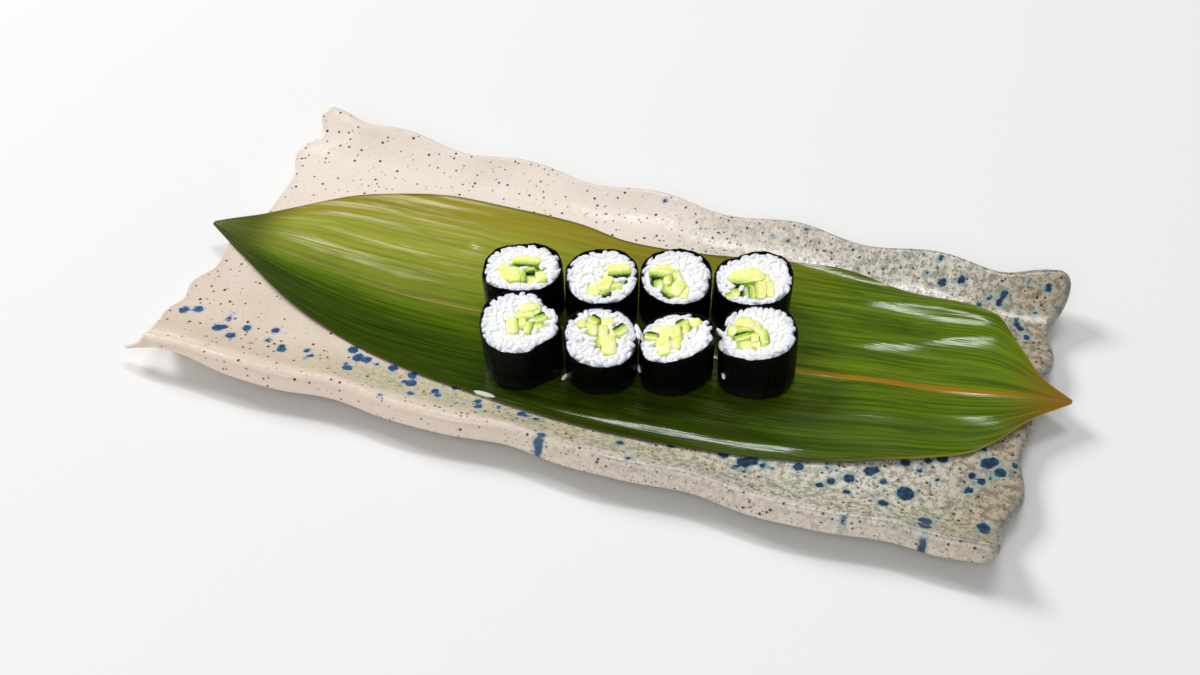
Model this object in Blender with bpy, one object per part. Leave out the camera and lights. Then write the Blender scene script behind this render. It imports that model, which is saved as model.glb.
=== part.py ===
"""Cucumber maki on a bamboo leaf, served on a long wavy-edged ceramic plate.

Origin: centre of the plate on the table; +X along the plate, +Y to its back, +Z up.
Built in metres; the sizes named below are in millimetres.
"""
import math

import bmesh
import bpy

for old in list(bpy.data.objects):
    bpy.data.objects.remove(old, do_unlink=True)

MM = 0.001
GAP = 0.3                   # clearance between pieces that touch
MIDDLE = 1.0                # the wavy outline's middle, behind the slab's own centre line

# ---- plate ----
FLOOR_TOP = 9.0             # eating surface above the table
SLAB = 4.7                  # thickness of the clay slab
FLAT_HALF = 50.0            # half width of the flat floor, before the walls rise
BACK_REACH = 71.4           # mean distance of the back rim from the centre line
FRONT_REACH = 71.2
BACK_WAVE = (2.1, 55.75, -116.0)    # depth, length and one crest of the back scallops
FRONT_WAVE = (1.3, 66.0, -48.0)
BACK_CREST = 14.6           # height of the back wall in the middle
CORNER_LIFT = 4.4           # how much higher the back corners stand
FRONT_CREST = 15.4
LIP_DROP = 7.5              # how far the rolled lip hangs below the crest
LIP_FADE = 4.1              # how much less it hangs at its front left end
LIP_TURN = 3.0              # how far its edge turns up round the front right corner
HORN_TIP = -161.8           # finger of clay pulled out of that end
HORN_DROOP = 4.6
HORN_ROOT = -0.982          # where it starts, as a share of the half length
COLUMNS = 55
HALF_LENGTH = 155.5
RIM_ROUND = 1.8             # rounding of the short edges
BACK_CORNER = 7.0           # rounding of the corners, seen from above
FRONT_CORNER = 2.0
# short edges: (place across the plate, reach along it) at each lobe and hollow
LEFT_EDGE = ((-70, 155.0), (-58, 157.8), (-51, 159.3), (-42, 156.2), (-34, 158.2), (-22, 153.8),
             (-7, 156.3), (14, 151.0), (36, 151.6), (53, 158.0), (63, 150.8), (70, 154.0))
RIGHT_EDGE = ((-68, 153.4), (-57, 154.0), (-50, 152.9), (-34, 157.6), (-14, 153.9), (1, 155.2),
              (17, 153.0), (34, 157.5), (50, 153.4), (66, 157.2), (72, 156.6))
FOOT_HALF_X = 104.0         # low foot ring, outside
FOOT_HALF_Y = 37.0
FOOT_WIDTH = 6.5
FOOT_CORNER = 13.0
FOOT_TOP = FLOOR_TOP - SLAB

# ---- leaf ----
LEAF_THICK = 1.0
LEAF_COLUMNS = 32
# stations along the leaf: (x, back margin, midrib, front margin)
LEAF_STATIONS = ((-166.0, -0.4, -1.2, -2.0), (-148, 11.2, -6.5, -13.6), (-118, 33.2, -12.0, -31.6),
                 (-86, 43.8, -15.0, -43.9), (-56, 46.6, -13.8, -50.1), (-30, 47.0, -11.5, -53.0),
                 (-8, 43.2, -9.8, -54.8), (20, 45.4, -7.2, -54.6), (70, 54.6, -3.2, -47.6),
                 (104, 50.4, 2.0, -37.6), (133, 48.6, 6.8, -23.6), (143, 37.2, 8.8, -14.8),
                 (154, 22.6, 11.2, 0.4), (166.0, 14.8, 14.0, 13.2))

# ---- rolls ----
ROW_TURN = 19.85            # the two rows lie skew across the plate
ROLL_FOOT = FLOOR_TOP + GAP + LEAF_THICK + GAP
RING = 24
NORI = 0.5
SQUARISH = 2.25             # how squarish the packed rolls are pressed, 2 is an ellipse
# along and across the rows: centre, half widths, height of the cut, its slope in degrees,
# how far the foot stands from under the top
ROLLS = (
    ((-32.4, 7.0), (14.4, 13.4), 29.5, (1.7, -0.6), (0.7, 0.0)),
    ((-3.7, 2.2), (13.4, 13.9), 29.1, (3.0, 5.0), (0.0, 1.6)),
    ((23.2, 1.8), (13.1, 13.8), 29.2, (0.5, 6.3), (0.0, 1.6)),
    ((51.3, 0.4), (14.2, 13.6), 29.7, (2.9, 4.2), (-0.4, 1.0)),
    ((-32.6, -22.0), (14.2, 14.4), 29.3, (1.0, 7.5), (1.4, -1.4)),
    ((-4.3, -29.6), (13.0, 13.9), 29.2, (-3.4, 7.5), (0.5, 3.6)),
    ((22.5, -29.7), (13.1, 13.2), 29.3, (11.0, -3.4), (0.2, 2.0)),
    ((50.7, -27.3), (13.9, 13.3), 29.3, (4.8, 3.4), (0.4, -1.4)),
)
# outward bulges of each outline: (direction in degrees, height, half width in degrees)
BULGES = (
    ((212, 1.1, 24), (300, 0.4, 25)),
    ((60, 0.3, 24), (215, -0.4, 25)),
    ((45, 0.6, 26), (235, -0.9, 26)),
    ((40, 0.9, 26), (120, -1.3, 20)),
    ((42, -2.7, 20), (305, -2.1, 22)),
    ((60, 0.4, 26), (195, -0.3, 22)),
    ((222, 1.2, 20), (305, -1.6, 28)),
    ((160, -1.2, 22), (212, 0.9, 18)),
)
# cucumber bundles: offset of the middle along and across the row, half length, half width, turn
BUNDLES = (
    ((-0.1, -2.2), 9.3, 7.2, -5), ((2.0, -2.3), 9.0, 6.0, 45), ((-3.1, -1.9), 7.8, 6.2, -62),
    ((-1.3, -2.8), 9.0, 7.0, 14), ((3.8, 1.3), 8.6, 6.6, 22), ((-0.1, 1.8), 9.2, 7.6, -56),
    ((-1.4, 0.0), 10.0, 7.2, 42), ((-3.4, 0.0), 8.2, 6.7, -66),
)
RICE_MIN = 1.3              # least wall of rice left around a bundle


# ---------------------------------------------------------------- helpers
def material(name, colour, rough):
    mat = bpy.data.materials.new(name)
    mat.use_nodes = True
    bsdf = mat.node_tree.nodes["Principled BSDF"]
    bsdf.inputs["Base Color"].default_value = (*colour, 1.0)
    bsdf.inputs["Roughness"].default_value = rough
    bsdf.inputs["Metallic"].default_value = 0.0
    return mat


def solid(name, verts, faces, mat, sharp=35.0):
    """One closed body from points in millimetres."""
    mesh = bpy.data.meshes.new(name)
    mesh.from_pydata([(x * MM, (y - MIDDLE) * MM, z * MM) for x, y, z in verts], [], faces)
    bm = bmesh.new()
    bm.from_mesh(mesh)
    bmesh.ops.recalc_face_normals(bm, faces=bm.faces)
    if bm.calc_volume(signed=True) < 0.0:
        bmesh.ops.reverse_faces(bm, faces=bm.faces)
    bm.to_mesh(mesh)
    bm.free()
    mesh.materials.append(mat)
    mesh.shade_smooth()
    mesh.set_sharp_from_angle(angle=math.radians(sharp))
    obj = bpy.data.objects.new(name, mesh)
    bpy.context.scene.collection.objects.link(obj)
    return obj


def ease(x, stops, column=1):
    """Value at x, eased through a table of stops."""
    if x <= stops[0][0]:
        return stops[0][column]
    for a, b in zip(stops, stops[1:]):
        if x <= b[0]:
            t = (x - a[0]) / (b[0] - a[0])
            return a[column] + (b[column] - a[column]) * (0.5 - 0.5 * math.cos(math.pi * t))
    return stops[-1][column]


def spline(x, stops, column):
    """Value at x on a smooth curve drawn through a table of stations."""
    n = len(stops)
    i = max(k for k in range(n - 1) if k == 0 or stops[k][0] <= x)
    (x0, y0), (x1, y1) = ((stops[k][0], stops[k][column]) for k in (i, i + 1))

    def slope(k):
        a, b = max(k - 1, 0), min(k + 1, n - 1)
        return (stops[b][column] - stops[a][column]) / (stops[b][0] - stops[a][0])

    h = x1 - x0
    t = min(max((x - x0) / h, 0.0), 1.0)
    m0, m1 = slope(i) * h, slope(i + 1) * h
    return ((2 * t ** 3 - 3 * t ** 2 + 1) * y0 + (t ** 3 - 2 * t ** 2 + t) * m0
            + (3 * t ** 2 - 2 * t ** 3) * y1 + (t ** 3 - t ** 2) * m1)


def smooth(t):
    t = min(max(t, 0.0), 1.0)
    return t * t * (3.0 - 2.0 * t)


# ---------------------------------------------------------------- plate
def long_side(x, back):
    """Reach of the rolled lip and height of its crest at x."""
    depth, length, crest = BACK_WAVE if back else FRONT_WAVE
    wave = depth * math.cos(2.0 * math.pi * (x - crest) / length)
    end = smooth((abs(x) - 128.0) / 26.0)
    s = abs(x) / 155.0
    if back:
        reach = BACK_REACH - 0.006 * x + wave * (1.0 - 0.6 * end) + 3.6 * end
        return reach, BACK_CREST + CORNER_LIFT * s ** 2.6 + 0.15 * wave
    reach = FRONT_REACH - 0.011 * x + wave * (1.0 - 0.7 * end) - 2.6 * smooth((x - 92.0) / 50.0)
    return reach, FRONT_CREST + 0.8 * s ** 4 + 0.2 * wave


def wall_height(y, reach, crest):
    """Height of the eating surface up the wall, y measured out from the middle."""
    top = reach - 5.2
    s = min(max((y - FLAT_HALF) / (top - FLAT_HALF), 0.0), 1.0)
    return FLOOR_TOP + (crest - 0.9 - FLOOR_TOP) * s ** 1.55


def section(x, back):
    """Upper and lower outline of one long side, from the lip's edge in to the floor."""
    reach, crest = long_side(x, back)
    fade = 0.0 if back else smooth((-x - 112.0) / 40.0)
    t = 0.0 if back else min(max((x - 150.0) / 5.5, 0.0), 1.0)
    turn = 1.0 - math.sqrt(1.0 - t * t)
    drop = LIP_DROP - LIP_FADE * fade - LIP_TURN * turn
    mid = 0.5 * (reach - 5.2 + FLAT_HALF)
    upper = [(reach, crest - drop), (reach - 0.1, crest - 0.56 * drop), (reach - 0.9, crest - 0.17 * drop),
             (reach - 2.9, crest), (reach - 5.2, crest - 0.9),
             (mid + 1.5, wall_height(mid + 1.5, reach, crest)), (FLAT_HALF, FLOOR_TOP)]
    low = mid - 1.5
    lower = [(reach - 3.2, crest - LIP_DROP + 2.9 * fade + 2.6 * turn),
             (reach - 3.6, crest - 5.4 + 0.7 * fade + 0.6 * turn),
             (reach - 4.6, crest - 4.7),
             (reach - 6.0, crest - 4.9), (reach - 9.0, wall_height(reach - 8.0, reach, crest) - 4.9),
             (low, wall_height(low, reach, crest) - SLAB - 0.3), (FLAT_HALF - 1.5, FOOT_TOP)]
    edge = (reach - 1.6, crest - drop - 0.9)
    return upper, lower, edge


def end_reach(y, left):
    return ease(y, LEFT_EDGE if left else RIGHT_EDGE)


def placed(u, y):
    """x of column u at y: the scalloped end shape fades out towards the middle."""
    lip = long_side(u * HALF_LENGTH, y > 0.0)[0]
    corner = BACK_CORNER if y > 0.0 else FRONT_CORNER
    t = min(max((abs(y) - lip) / corner + 1.0, 0.0), 1.0)
    end = end_reach(y, u < 0.0) - RIM_ROUND - corner * (1.0 - math.sqrt(1.0 - t * t))
    blend = smooth((abs(u) - 0.72) / 0.28)
    return u * (HALF_LENGTH + (end - HALF_LENGTH) * blend)


verts, faces = [], []


def vertex(x, y, z):
    verts.append((x, y, z))
    return len(verts) - 1


us = [-1.0, HORN_ROOT] + [-1.0 + 2.0 * i / (COLUMNS - 1) for i in range(1, COLUMNS)]
horn = (1.0, 0.4, 0.1, 0.0, 0.0, 0.0, 0.0)      # how far each row joins the finger
grid = {}
for back in (False, True):
    side = 1.0 if back else -1.0
    for i, u in enumerate(us):
        upper, lower, edge = section(u * HALF_LENGTH, back)
        for part, rows in (("upper", upper), ("lower", lower), ("edge", [edge])):
            for j, (y, z) in enumerate(rows):
                pull = horn[j] if i == 0 and not back else 0.0
                x = placed(u, side * y)
                grid[back, part, i, j] = vertex(x + (HORN_TIP - x) * pull, side * y, z - HORN_DROOP * pull)
        # strips of the upper and lower surface and the lip's edge between them
    for i in range(COLUMNS):
        for part in ("upper", "lower"):
            for j in range(6):
                faces.append((grid[back, part, i, j], grid[back, part, i + 1, j],
                              grid[back, part, i + 1, j + 1], grid[back, part, i, j + 1]))
        for part in ("upper", "lower"):
            faces.append((grid[back, part, i, 0], grid[back, part, i + 1, 0],
                          grid[back, "edge", i + 1, 0], grid[back, "edge", i, 0]))

# the short ends: points across the floor, then one rounded rim from lip to lip
FLOOR_ROWS = 16
across = [-FLAT_HALF + 2.0 * FLAT_HALF * k / FLOOR_ROWS for k in range(1, FLOOR_ROWS)]
ends = {}
for left in (True, False):
    i = 0 if left else COLUMNS
    u = us[i]
    for part, level in (("upper", FLOOR_TOP), ("lower", FOOT_TOP)):
        chain = [grid[False, part, i, j] for j in range(7)]
        chain += [vertex(placed(u, y), y, level) for y in across]
        chain += [grid[True, part, i, j] for j in range(6, -1, -1)]
        ends[left, part] = chain
    rims = []
    for share, out in ((0.24, 0.82), (0.76, 0.8)):
        rim = []
        for a, b in zip(ends[left, "upper"], ends[left, "lower"]):
            pa, pb = verts[a], verts[b]
            x, y, z = (pa[k] + (pb[k] - pa[k]) * share for k in range(3))
            rim.append(vertex(x + math.copysign(RIM_ROUND * out, u), y, z))
        rims.append(rim)
    rows = [ends[left, "upper"], rims[0], rims[1], ends[left, "lower"]]
    for a, b in zip(rows, rows[1:]):
        for k in range(len(a) - 1):
            faces.append((a[k], a[k + 1], b[k + 1], b[k]))
    for back, k in ((False, 0), (True, -1)):
        faces.append((rows[0][k], rims[0][k], rims[1][k], rows[3][k], grid[back, "edge", i, 0]))

# flat floor, and the flat underside with its foot ring
floor = [grid[False, "upper", i, 6] for i in range(COLUMNS + 1)]
floor += ends[False, "upper"][7:-7]
floor += [grid[True, "upper", i, 6] for i in range(COLUMNS, -1, -1)]
floor += ends[True, "upper"][-8:6:-1]
faces.append(tuple(floor))


def foot_loop(half_x, half_y, corner, z):
    loop = []
    for sx, sy, start in ((1, 1, 0), (-1, 1, 90), (-1, -1, 180), (1, -1, 270)):
        for k in range(5):
            a = math.radians(start + 22.5 * k)
            x = sx * (half_x - corner) + corner * math.cos(a)
            y = sy * (half_y - corner) + corner * math.sin(a)
            loop.append(vertex(x, y, z))
    return loop


foot = [foot_loop(FOOT_HALF_X + 0.8, FOOT_HALF_Y + 0.8, FOOT_CORNER + 0.8, FOOT_TOP),
        foot_loop(FOOT_HALF_X, FOOT_HALF_Y, FOOT_CORNER, 0.0),
        foot_loop(FOOT_HALF_X - FOOT_WIDTH, FOOT_HALF_Y - FOOT_WIDTH, FOOT_CORNER - FOOT_WIDTH, 0.0),
        foot_loop(FOOT_HALF_X - FOOT_WIDTH - 0.8, FOOT_HALF_Y - FOOT_WIDTH - 0.8,
                  FOOT_CORNER - FOOT_WIDTH - 0.8, FOOT_TOP)]
for a, b in zip(foot, foot[1:]):
    for k in range(len(a)):
        n = (k + 1) % len(a)
        faces.append((a[k], a[n], b[n], b[k]))
faces.append(tuple(foot[3]))

# underside: from each foot corner the flat field fans out to the slab's own outline
under = [grid[False, "lower", i, 6] for i in range(COLUMNS + 1)]
under += ends[False, "lower"][7:-7]
under += [grid[True, "lower", i, 6] for i in range(COLUMNS, -1, -1)]
under += ends[True, "lower"][-8:6:-1]


def bridge(outer, inner):
    """Triangles between two loops around the origin, walked by direction."""
    def turn(k):
        x, y, _ = verts[k]
        return math.atan2(y / FOOT_HALF_Y, x / FOOT_HALF_X)

    outer = sorted(outer, key=turn)
    inner = sorted(inner, key=turn)
    i = j = 0
    while i < len(outer) or j < len(inner):
        a, b = outer[i % len(outer)], inner[j % len(inner)]
        next_a = turn(outer[(i + 1) % len(outer)]) + (2 * math.pi if i + 1 >= len(outer) else 0.0)
        next_b = turn(inner[(j + 1) % len(inner)]) + (2 * math.pi if j + 1 >= len(inner) else 0.0)
        if j >= len(inner) or (i < len(outer) and next_a <= next_b):
            faces.append((a, outer[(i + 1) % len(outer)], b))
            i += 1
        else:
            faces.append((a, inner[(j + 1) % len(inner)], b))
            j += 1


bridge(under, foot[0])

glaze = material("stoneware_glaze", (0.62, 0.56, 0.47), 0.28)
plate = solid("plate", verts, faces, glaze)


# ---------------------------------------------------------------- leaf
def plate_height(x, y):
    reach, crest = long_side(x, y > 0.0)
    return wall_height(abs(y), reach, crest)


def leaf_under(x, y):
    """Underside of the leaf: flat below the rolls, lightly lifted elsewhere."""
    base = FLOOR_TOP + GAP
    climb = plate_height(x, y) - FLOOR_TOP
    if abs(x) > 150.0:
        climb = 0.0
    if climb > 0.0:
        climb += 0.35 * smooth(climb / 1.0)
    free_right = smooth((x - 82.0) / 30.0)
    free_left = smooth((-x - 62.0) / 30.0)
    free_back = smooth((y - 34.0) / 10.0)
    billow = 1.3 * free_right * (0.5 + 0.5 * math.sin(x / 11.0 + y / 17.0))
    billow += 0.9 * free_left * (0.5 + 0.5 * math.sin(y / 10.0 - x / 29.0))
    billow += 0.7 * free_back * (0.5 + 0.5 * math.sin(x / 16.0))
    return base + climb + billow


LEAF_ROWS = (0.0, 0.12, 0.32, 0.58, 0.86, 1.0)
lverts, lfaces = [], []
lgrid = {}
first, last = LEAF_STATIONS[0][0], LEAF_STATIONS[-1][0]
tables = [[(s[0], s[c]) for s in LEAF_STATIONS] for c in (1, 2, 3)]
for i in range(LEAF_COLUMNS + 1):
    t = i / LEAF_COLUMNS
    x = first + (last - first) * (t + 0.045 * math.sin(2.0 * math.pi * t) * -1.0)
    top, rib, bottom = (spline(x, table, 1) for table in tables)
    line = [bottom + (rib - bottom) * s for s in LEAF_ROWS]
    line += [rib + (top - rib) * (1.0 - s) for s in LEAF_ROWS[-2::-1]]
    for j, y in enumerate(line):
        z = leaf_under(x, y)
        for k, lift in enumerate((0.0, LEAF_THICK)):
            lgrid[i, j, k] = len(lverts)
            lverts.append((x, y, z + lift))
rows = 2 * len(LEAF_ROWS) - 1
for i in range(LEAF_COLUMNS):
    for j in range(rows - 1):
        for k in (0, 1):
            lfaces.append((lgrid[i, j, k], lgrid[i + 1, j, k], lgrid[i + 1, j + 1, k], lgrid[i, j + 1, k]))
    for j in (0, rows - 1):
        lfaces.append((lgrid[i, j, 0], lgrid[i + 1, j, 0], lgrid[i + 1, j, 1], lgrid[i, j, 1]))
for i in (0, LEAF_COLUMNS):
    for j in range(rows - 1):
        lfaces.append((lgrid[i, j, 0], lgrid[i, j + 1, 0], lgrid[i, j + 1, 1], lgrid[i, j, 1]))
green = material("bamboo_leaf_green", (0.10, 0.20, 0.02), 0.35)
leaf = solid("leaf", lverts, lfaces, green)


# ---------------------------------------------------------------- rolls
def rim_radius(index, angle):
    """Outline of a roll about its centre, angle in degrees in the row's own directions."""
    (half_a, half_b) = ROLLS[index][1]
    c, s = abs(math.cos(math.radians(angle))), abs(math.sin(math.radians(angle)))
    r = ((c / half_a) ** SQUARISH + (s / half_b) ** SQUARISH) ** (-1.0 / SQUARISH)
    for way, height, width in BULGES[index]:
        off = (angle - way + 180.0) % 360.0 - 180.0
        r += height * math.exp(-(off / width) ** 2)
    return r


def cut_height(index, a, b):
    """Height of the cut face at a place given from the roll's centre."""
    _, _, height, (slope_a, slope_b), _ = ROLLS[index]
    return height + math.tan(math.radians(slope_a)) * a + math.tan(math.radians(slope_b)) * b


def at(index, a, b, z):
    """From the roll's own directions to the plate's, leaning from foot to top."""
    centre, _, height, _, foot_off = ROLLS[index]
    t = 1.0 - (z - ROLL_FOOT) / (height - ROLL_FOOT)
    a += centre[0] + foot_off[0] * t
    b += centre[1] + foot_off[1] * t
    c, s = math.cos(math.radians(ROW_TURN)), math.sin(math.radians(ROW_TURN))
    return (a * c - b * s, a * s + b * c, z)


def ring_points(index, inset):
    pts = []
    for k in range(RING):
        angle = 360.0 * k / RING
        r = rim_radius(index, angle) - inset
        pts.append((r * math.cos(math.radians(angle)), r * math.sin(math.radians(angle))))
    return pts


def bundle_points(index, grow):
    """Uneven outline of the cucumber bundle, kept inside the rice."""
    (off_a, off_b), half_long, half_short, turn = BUNDLES[index]
    pts = []
    for k in range(RING):
        angle = 360.0 * k / RING
        local = math.radians(angle - turn)
        uneven = 1.0 + 0.07 * math.cos(3.0 * local + index) + 0.05 * math.cos(5.0 * local - 2.0 * index)
        r = uneven / math.hypot(math.cos(local) / half_long, math.sin(local) / half_short)
        a, b = off_a + r * math.cos(math.radians(angle)), off_b + r * math.sin(math.radians(angle))
        away = math.hypot(a, b)
        room = rim_radius(index, math.degrees(math.atan2(b, a))) - NORI - GAP - RICE_MIN - GAP
        if away > room:
            a, b = a * room / away, b * room / away
        pts.append((a, b))
    if grow == 0.0:
        return pts
    out = []
    for k, (a, b) in enumerate(pts):
        (a0, b0), (a1, b1) = pts[k - 1], pts[(k + 1) % RING]
        na, nb = b1 - b0, a0 - a1
        size = math.hypot(na, nb)
        out.append((a + grow * na / size, b + grow * nb / size))
    return out


def loops_to_tube(index, loops):
    """A closed ring-shaped body from loops run around its own section."""
    v, f = [], []
    for loop in loops:
        v += [at(index, a, b, z) for a, b, z in loop]
    count = len(loops)
    for m in range(count):
        n = (m + 1) % count
        for k in range(RING):
            q = (k + 1) % RING
            f.append((m * RING + k, m * RING + q, n * RING + q, n * RING + k))
    return v, f


def nori_top(index, k, a, b):
    ragged = 0.25 * math.sin(3.0 * 2.0 * math.pi * k / RING + 2.0 * index)
    return cut_height(index, a, b) - 0.75 + ragged


seaweed = material("nori_black_green", (0.008, 0.010, 0.007), 0.35)
rice_white = material("cooked_rice_white", (0.80, 0.80, 0.77), 0.4)
cucumber_green = material("cucumber_pale_green", (0.55, 0.72, 0.22), 0.35)

for index in range(len(ROLLS)):
    number = index + 1
    outer, inner = ring_points(index, 0.0), ring_points(index, NORI)
    loops = [[(a, b, ROLL_FOOT) for a, b in outer],
             [(a * 1.004, b * 1.004, 0.5 * (ROLL_FOOT + cut_height(index, a, b))) for a, b in outer],
             [(a, b, nori_top(index, k, a, b)) for k, (a, b) in enumerate(outer)],
             [(a, b, nori_top(index, k, a, b)) for k, (a, b) in enumerate(inner)],
             [(a, b, ROLL_FOOT) for a, b in inner]]
    solid(f"nori_{number}", *loops_to_tube(index, loops), seaweed)

    edge = ring_points(index, NORI + GAP)
    inside = bundle_points(index, GAP + 0.05)
    crown = [(0.5 * (a + c), 0.5 * (b + d)) for (a, b), (c, d) in zip(edge, inside)]
    loops = [[(a, b, ROLL_FOOT) for a, b in edge],
             [(a, b, cut_height(index, a, b) - 0.4) for a, b in edge],
             [(a, b, cut_height(index, a, b) + 0.5) for a, b in crown],
             [(a, b, cut_height(index, a, b)) for a, b in inside],
             [(a, b, ROLL_FOOT) for a, b in inside]]
    solid(f"rice_{number}", *loops_to_tube(index, loops), rice_white)

    core = bundle_points(index, 0.0)
    mid_a = sum(p[0] for p in core) / RING
    mid_b = sum(p[1] for p in core) / RING
    v = [at(index, a, b, ROLL_FOOT) for a, b in core]
    v += [at(index, a, b, cut_height(index, a, b) + 0.1) for a, b in core]
    v.append(at(index, mid_a, mid_b, cut_height(index, mid_a, mid_b) + 0.9))
    f = [tuple(range(RING))]
    for k in range(RING):
        q = (k + 1) % RING
        f.append((k, q, RING + q, RING + k))
        f.append((RING + k, RING + q, 2 * RING))
    solid(f"cucumber_{number}", v, f, cucumber_green)
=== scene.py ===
# %% [markdown]
# # Cucumber maki on a bamboo leaf and a wavy plate
# The frame holds the solids of the serving: a long plate, a leaf, and for every roll a sheet of
# nori, a ring of rice and a bundle of cucumber. This file dresses them. Each lesson explains one
# piece of the real dish, how it could be made, and why this way was chosen. Lengths are written
# in millimetres and turned into metres only when a mesh is made.

# %% The frame and its box
import math

import bpy
import bmesh
import numpy as np
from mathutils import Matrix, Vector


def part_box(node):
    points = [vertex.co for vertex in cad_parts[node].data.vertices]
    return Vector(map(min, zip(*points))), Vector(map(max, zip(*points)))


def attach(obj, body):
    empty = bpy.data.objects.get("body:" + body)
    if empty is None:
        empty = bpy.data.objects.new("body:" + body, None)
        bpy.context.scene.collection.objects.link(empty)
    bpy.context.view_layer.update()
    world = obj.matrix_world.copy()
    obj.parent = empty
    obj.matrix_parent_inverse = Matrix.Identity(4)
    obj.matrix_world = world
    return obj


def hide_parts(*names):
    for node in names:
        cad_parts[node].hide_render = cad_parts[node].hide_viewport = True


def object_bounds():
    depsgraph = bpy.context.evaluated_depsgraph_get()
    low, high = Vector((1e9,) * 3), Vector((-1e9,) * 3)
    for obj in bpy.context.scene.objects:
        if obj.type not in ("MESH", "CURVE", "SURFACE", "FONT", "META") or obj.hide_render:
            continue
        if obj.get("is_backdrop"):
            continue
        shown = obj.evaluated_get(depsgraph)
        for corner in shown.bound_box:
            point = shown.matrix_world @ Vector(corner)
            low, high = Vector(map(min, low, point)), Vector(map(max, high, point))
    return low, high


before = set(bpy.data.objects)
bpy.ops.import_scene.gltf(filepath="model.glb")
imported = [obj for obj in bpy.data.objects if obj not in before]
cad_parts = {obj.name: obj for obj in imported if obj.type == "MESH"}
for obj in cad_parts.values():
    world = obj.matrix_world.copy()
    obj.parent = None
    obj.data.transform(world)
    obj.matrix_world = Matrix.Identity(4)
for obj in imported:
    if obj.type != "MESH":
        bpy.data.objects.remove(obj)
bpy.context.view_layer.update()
MM = 0.001

# %% [markdown]
# Every piece here is a sheet or a shell that follows rules, so it is laid out as a grid of
# points and turned into one mesh. Merging doubled points closes the seams, and the normals are
# worked out once the mesh is closed, so that no face points inwards.

# %% Points and faces into a closed mesh
def grid_faces(rows, columns, start=0, wrap=False, flip=False):
    """Quads over a grid of points stored row by row."""
    r = np.arange(rows - 1)[:, None]
    c = np.arange(columns if wrap else columns - 1)[None, :]
    n = (c + 1) % columns
    quads = np.stack([r * columns + c, r * columns + n, (r + 1) * columns + n, (r + 1) * columns + c], -1)
    quads = quads.reshape(-1, 4) + start
    return quads[:, ::-1] if flip else quads


def make_piece(name, points, faces, floats=None, uv=None, weld=0.002, sharp=50.0):
    """One mesh object from points in millimetres, with optional point attributes and a UV per point."""
    mesh = bpy.data.meshes.new(name)
    mesh.from_pydata((np.asarray(points, float) * MM).tolist(), [], [tuple(map(int, f)) for f in faces])
    for key, values in (floats or {}).items():
        layer = mesh.attributes.new(key, "FLOAT", "POINT")
        layer.data.foreach_set("value", np.asarray(values, np.float32))
    if uv is not None:
        corner = np.empty(len(mesh.loops), np.int32)
        mesh.loops.foreach_get("vertex_index", corner)
        layer = mesh.uv_layers.new(name="cut")
        layer.data.foreach_set("uv", np.asarray(uv, np.float32)[corner].ravel())
    bm = bmesh.new()
    bm.from_mesh(mesh)
    if weld:
        bmesh.ops.remove_doubles(bm, verts=bm.verts, dist=weld * MM)
    bmesh.ops.dissolve_degenerate(bm, edges=bm.edges, dist=1e-8)
    bmesh.ops.recalc_face_normals(bm, faces=bm.faces)
    bm.to_mesh(mesh)
    bm.free()
    mesh.shade_smooth()
    mesh.set_sharp_from_angle(angle=math.radians(sharp))
    piece = bpy.data.objects.new(name, mesh)
    bpy.context.scene.collection.objects.link(piece)
    return piece


def dress(piece, finish, replaced):
    """Gives the piece its material, hangs it on the root body and hides the frame's parts that it stands for."""
    piece.data.materials.clear()
    piece.data.materials.append(finish)
    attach(piece, "root")
    if replaced:
        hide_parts(*replaced)
    triangles = sum(len(p.vertices) - 2 for p in piece.data.polygons)
    print(f"{piece.name}: {triangles} triangles")


# %% [markdown]
# A material is a small net of nodes. These helpers lay one node at a time and give back its
# output, so that a net reads like a formula. `speckle` is a shader node group used for every
# finish with dots in it: the glaze's pinholes, its blue spots and the flecks of the nori. It
# scatters one dot per cell and keeps only as many as asked.

# %% Laying shader nodes
def put(tree, kind, out=0, inputs=(), **props):
    node = tree.nodes.new(kind)
    for key, value in props.items():
        setattr(node, key, value)
    for key, value in dict(inputs).items():
        if isinstance(value, bpy.types.NodeSocket):
            tree.links.new(value, node.inputs[key])
        else:
            node.inputs[key].default_value = value
    return node.outputs[out]


def calc(tree, operation, a, b=0.0, c=0.0):
    return put(tree, "ShaderNodeMath", 0, {0: a, 1: b, 2: c}, operation=operation)


def span(tree, value, low, high, to_low=0.0, to_high=1.0, smooth=True):
    """Value between low and high, mapped to the other two numbers and held outside."""
    kind = "SMOOTHSTEP" if smooth else "LINEAR"
    names = {"Value": value, "From Min": low, "From Max": high, "To Min": to_low, "To Max": to_high}
    return put(tree, "ShaderNodeMapRange", 0, names, interpolation_type=kind)


def blend(tree, factor, a, b, mode="MIX"):
    a, b = ((*v, 1.0) if isinstance(v, tuple) and len(v) == 3 else v for v in (a, b))
    return put(tree, "ShaderNodeMix", 2, {0: factor, 6: a, 7: b}, data_type="RGBA", blend_type=mode)


def noise(tree, where, scale, detail=3.0, roughness=0.5, out=0, distortion=0.0):
    names = {"Vector": where, "Scale": scale, "Detail": detail, "Roughness": roughness,
             "Distortion": distortion}
    return put(tree, "ShaderNodeTexNoise", out, names)


def stretched(tree, where, by):
    return put(tree, "ShaderNodeVectorMath", 0, {0: where, 1: by}, operation="MULTIPLY")


def in_millimetres(tree):
    """Object coordinates in millimetres."""
    where = put(tree, "ShaderNodeTexCoord", 3)
    return stretched(tree, where, (1000.0, 1000.0, 1000.0))


def axes_of(tree, where):
    split = tree.nodes.new("ShaderNodeSeparateXYZ")
    tree.links.new(where, split.inputs[0])
    return split.outputs


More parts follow.
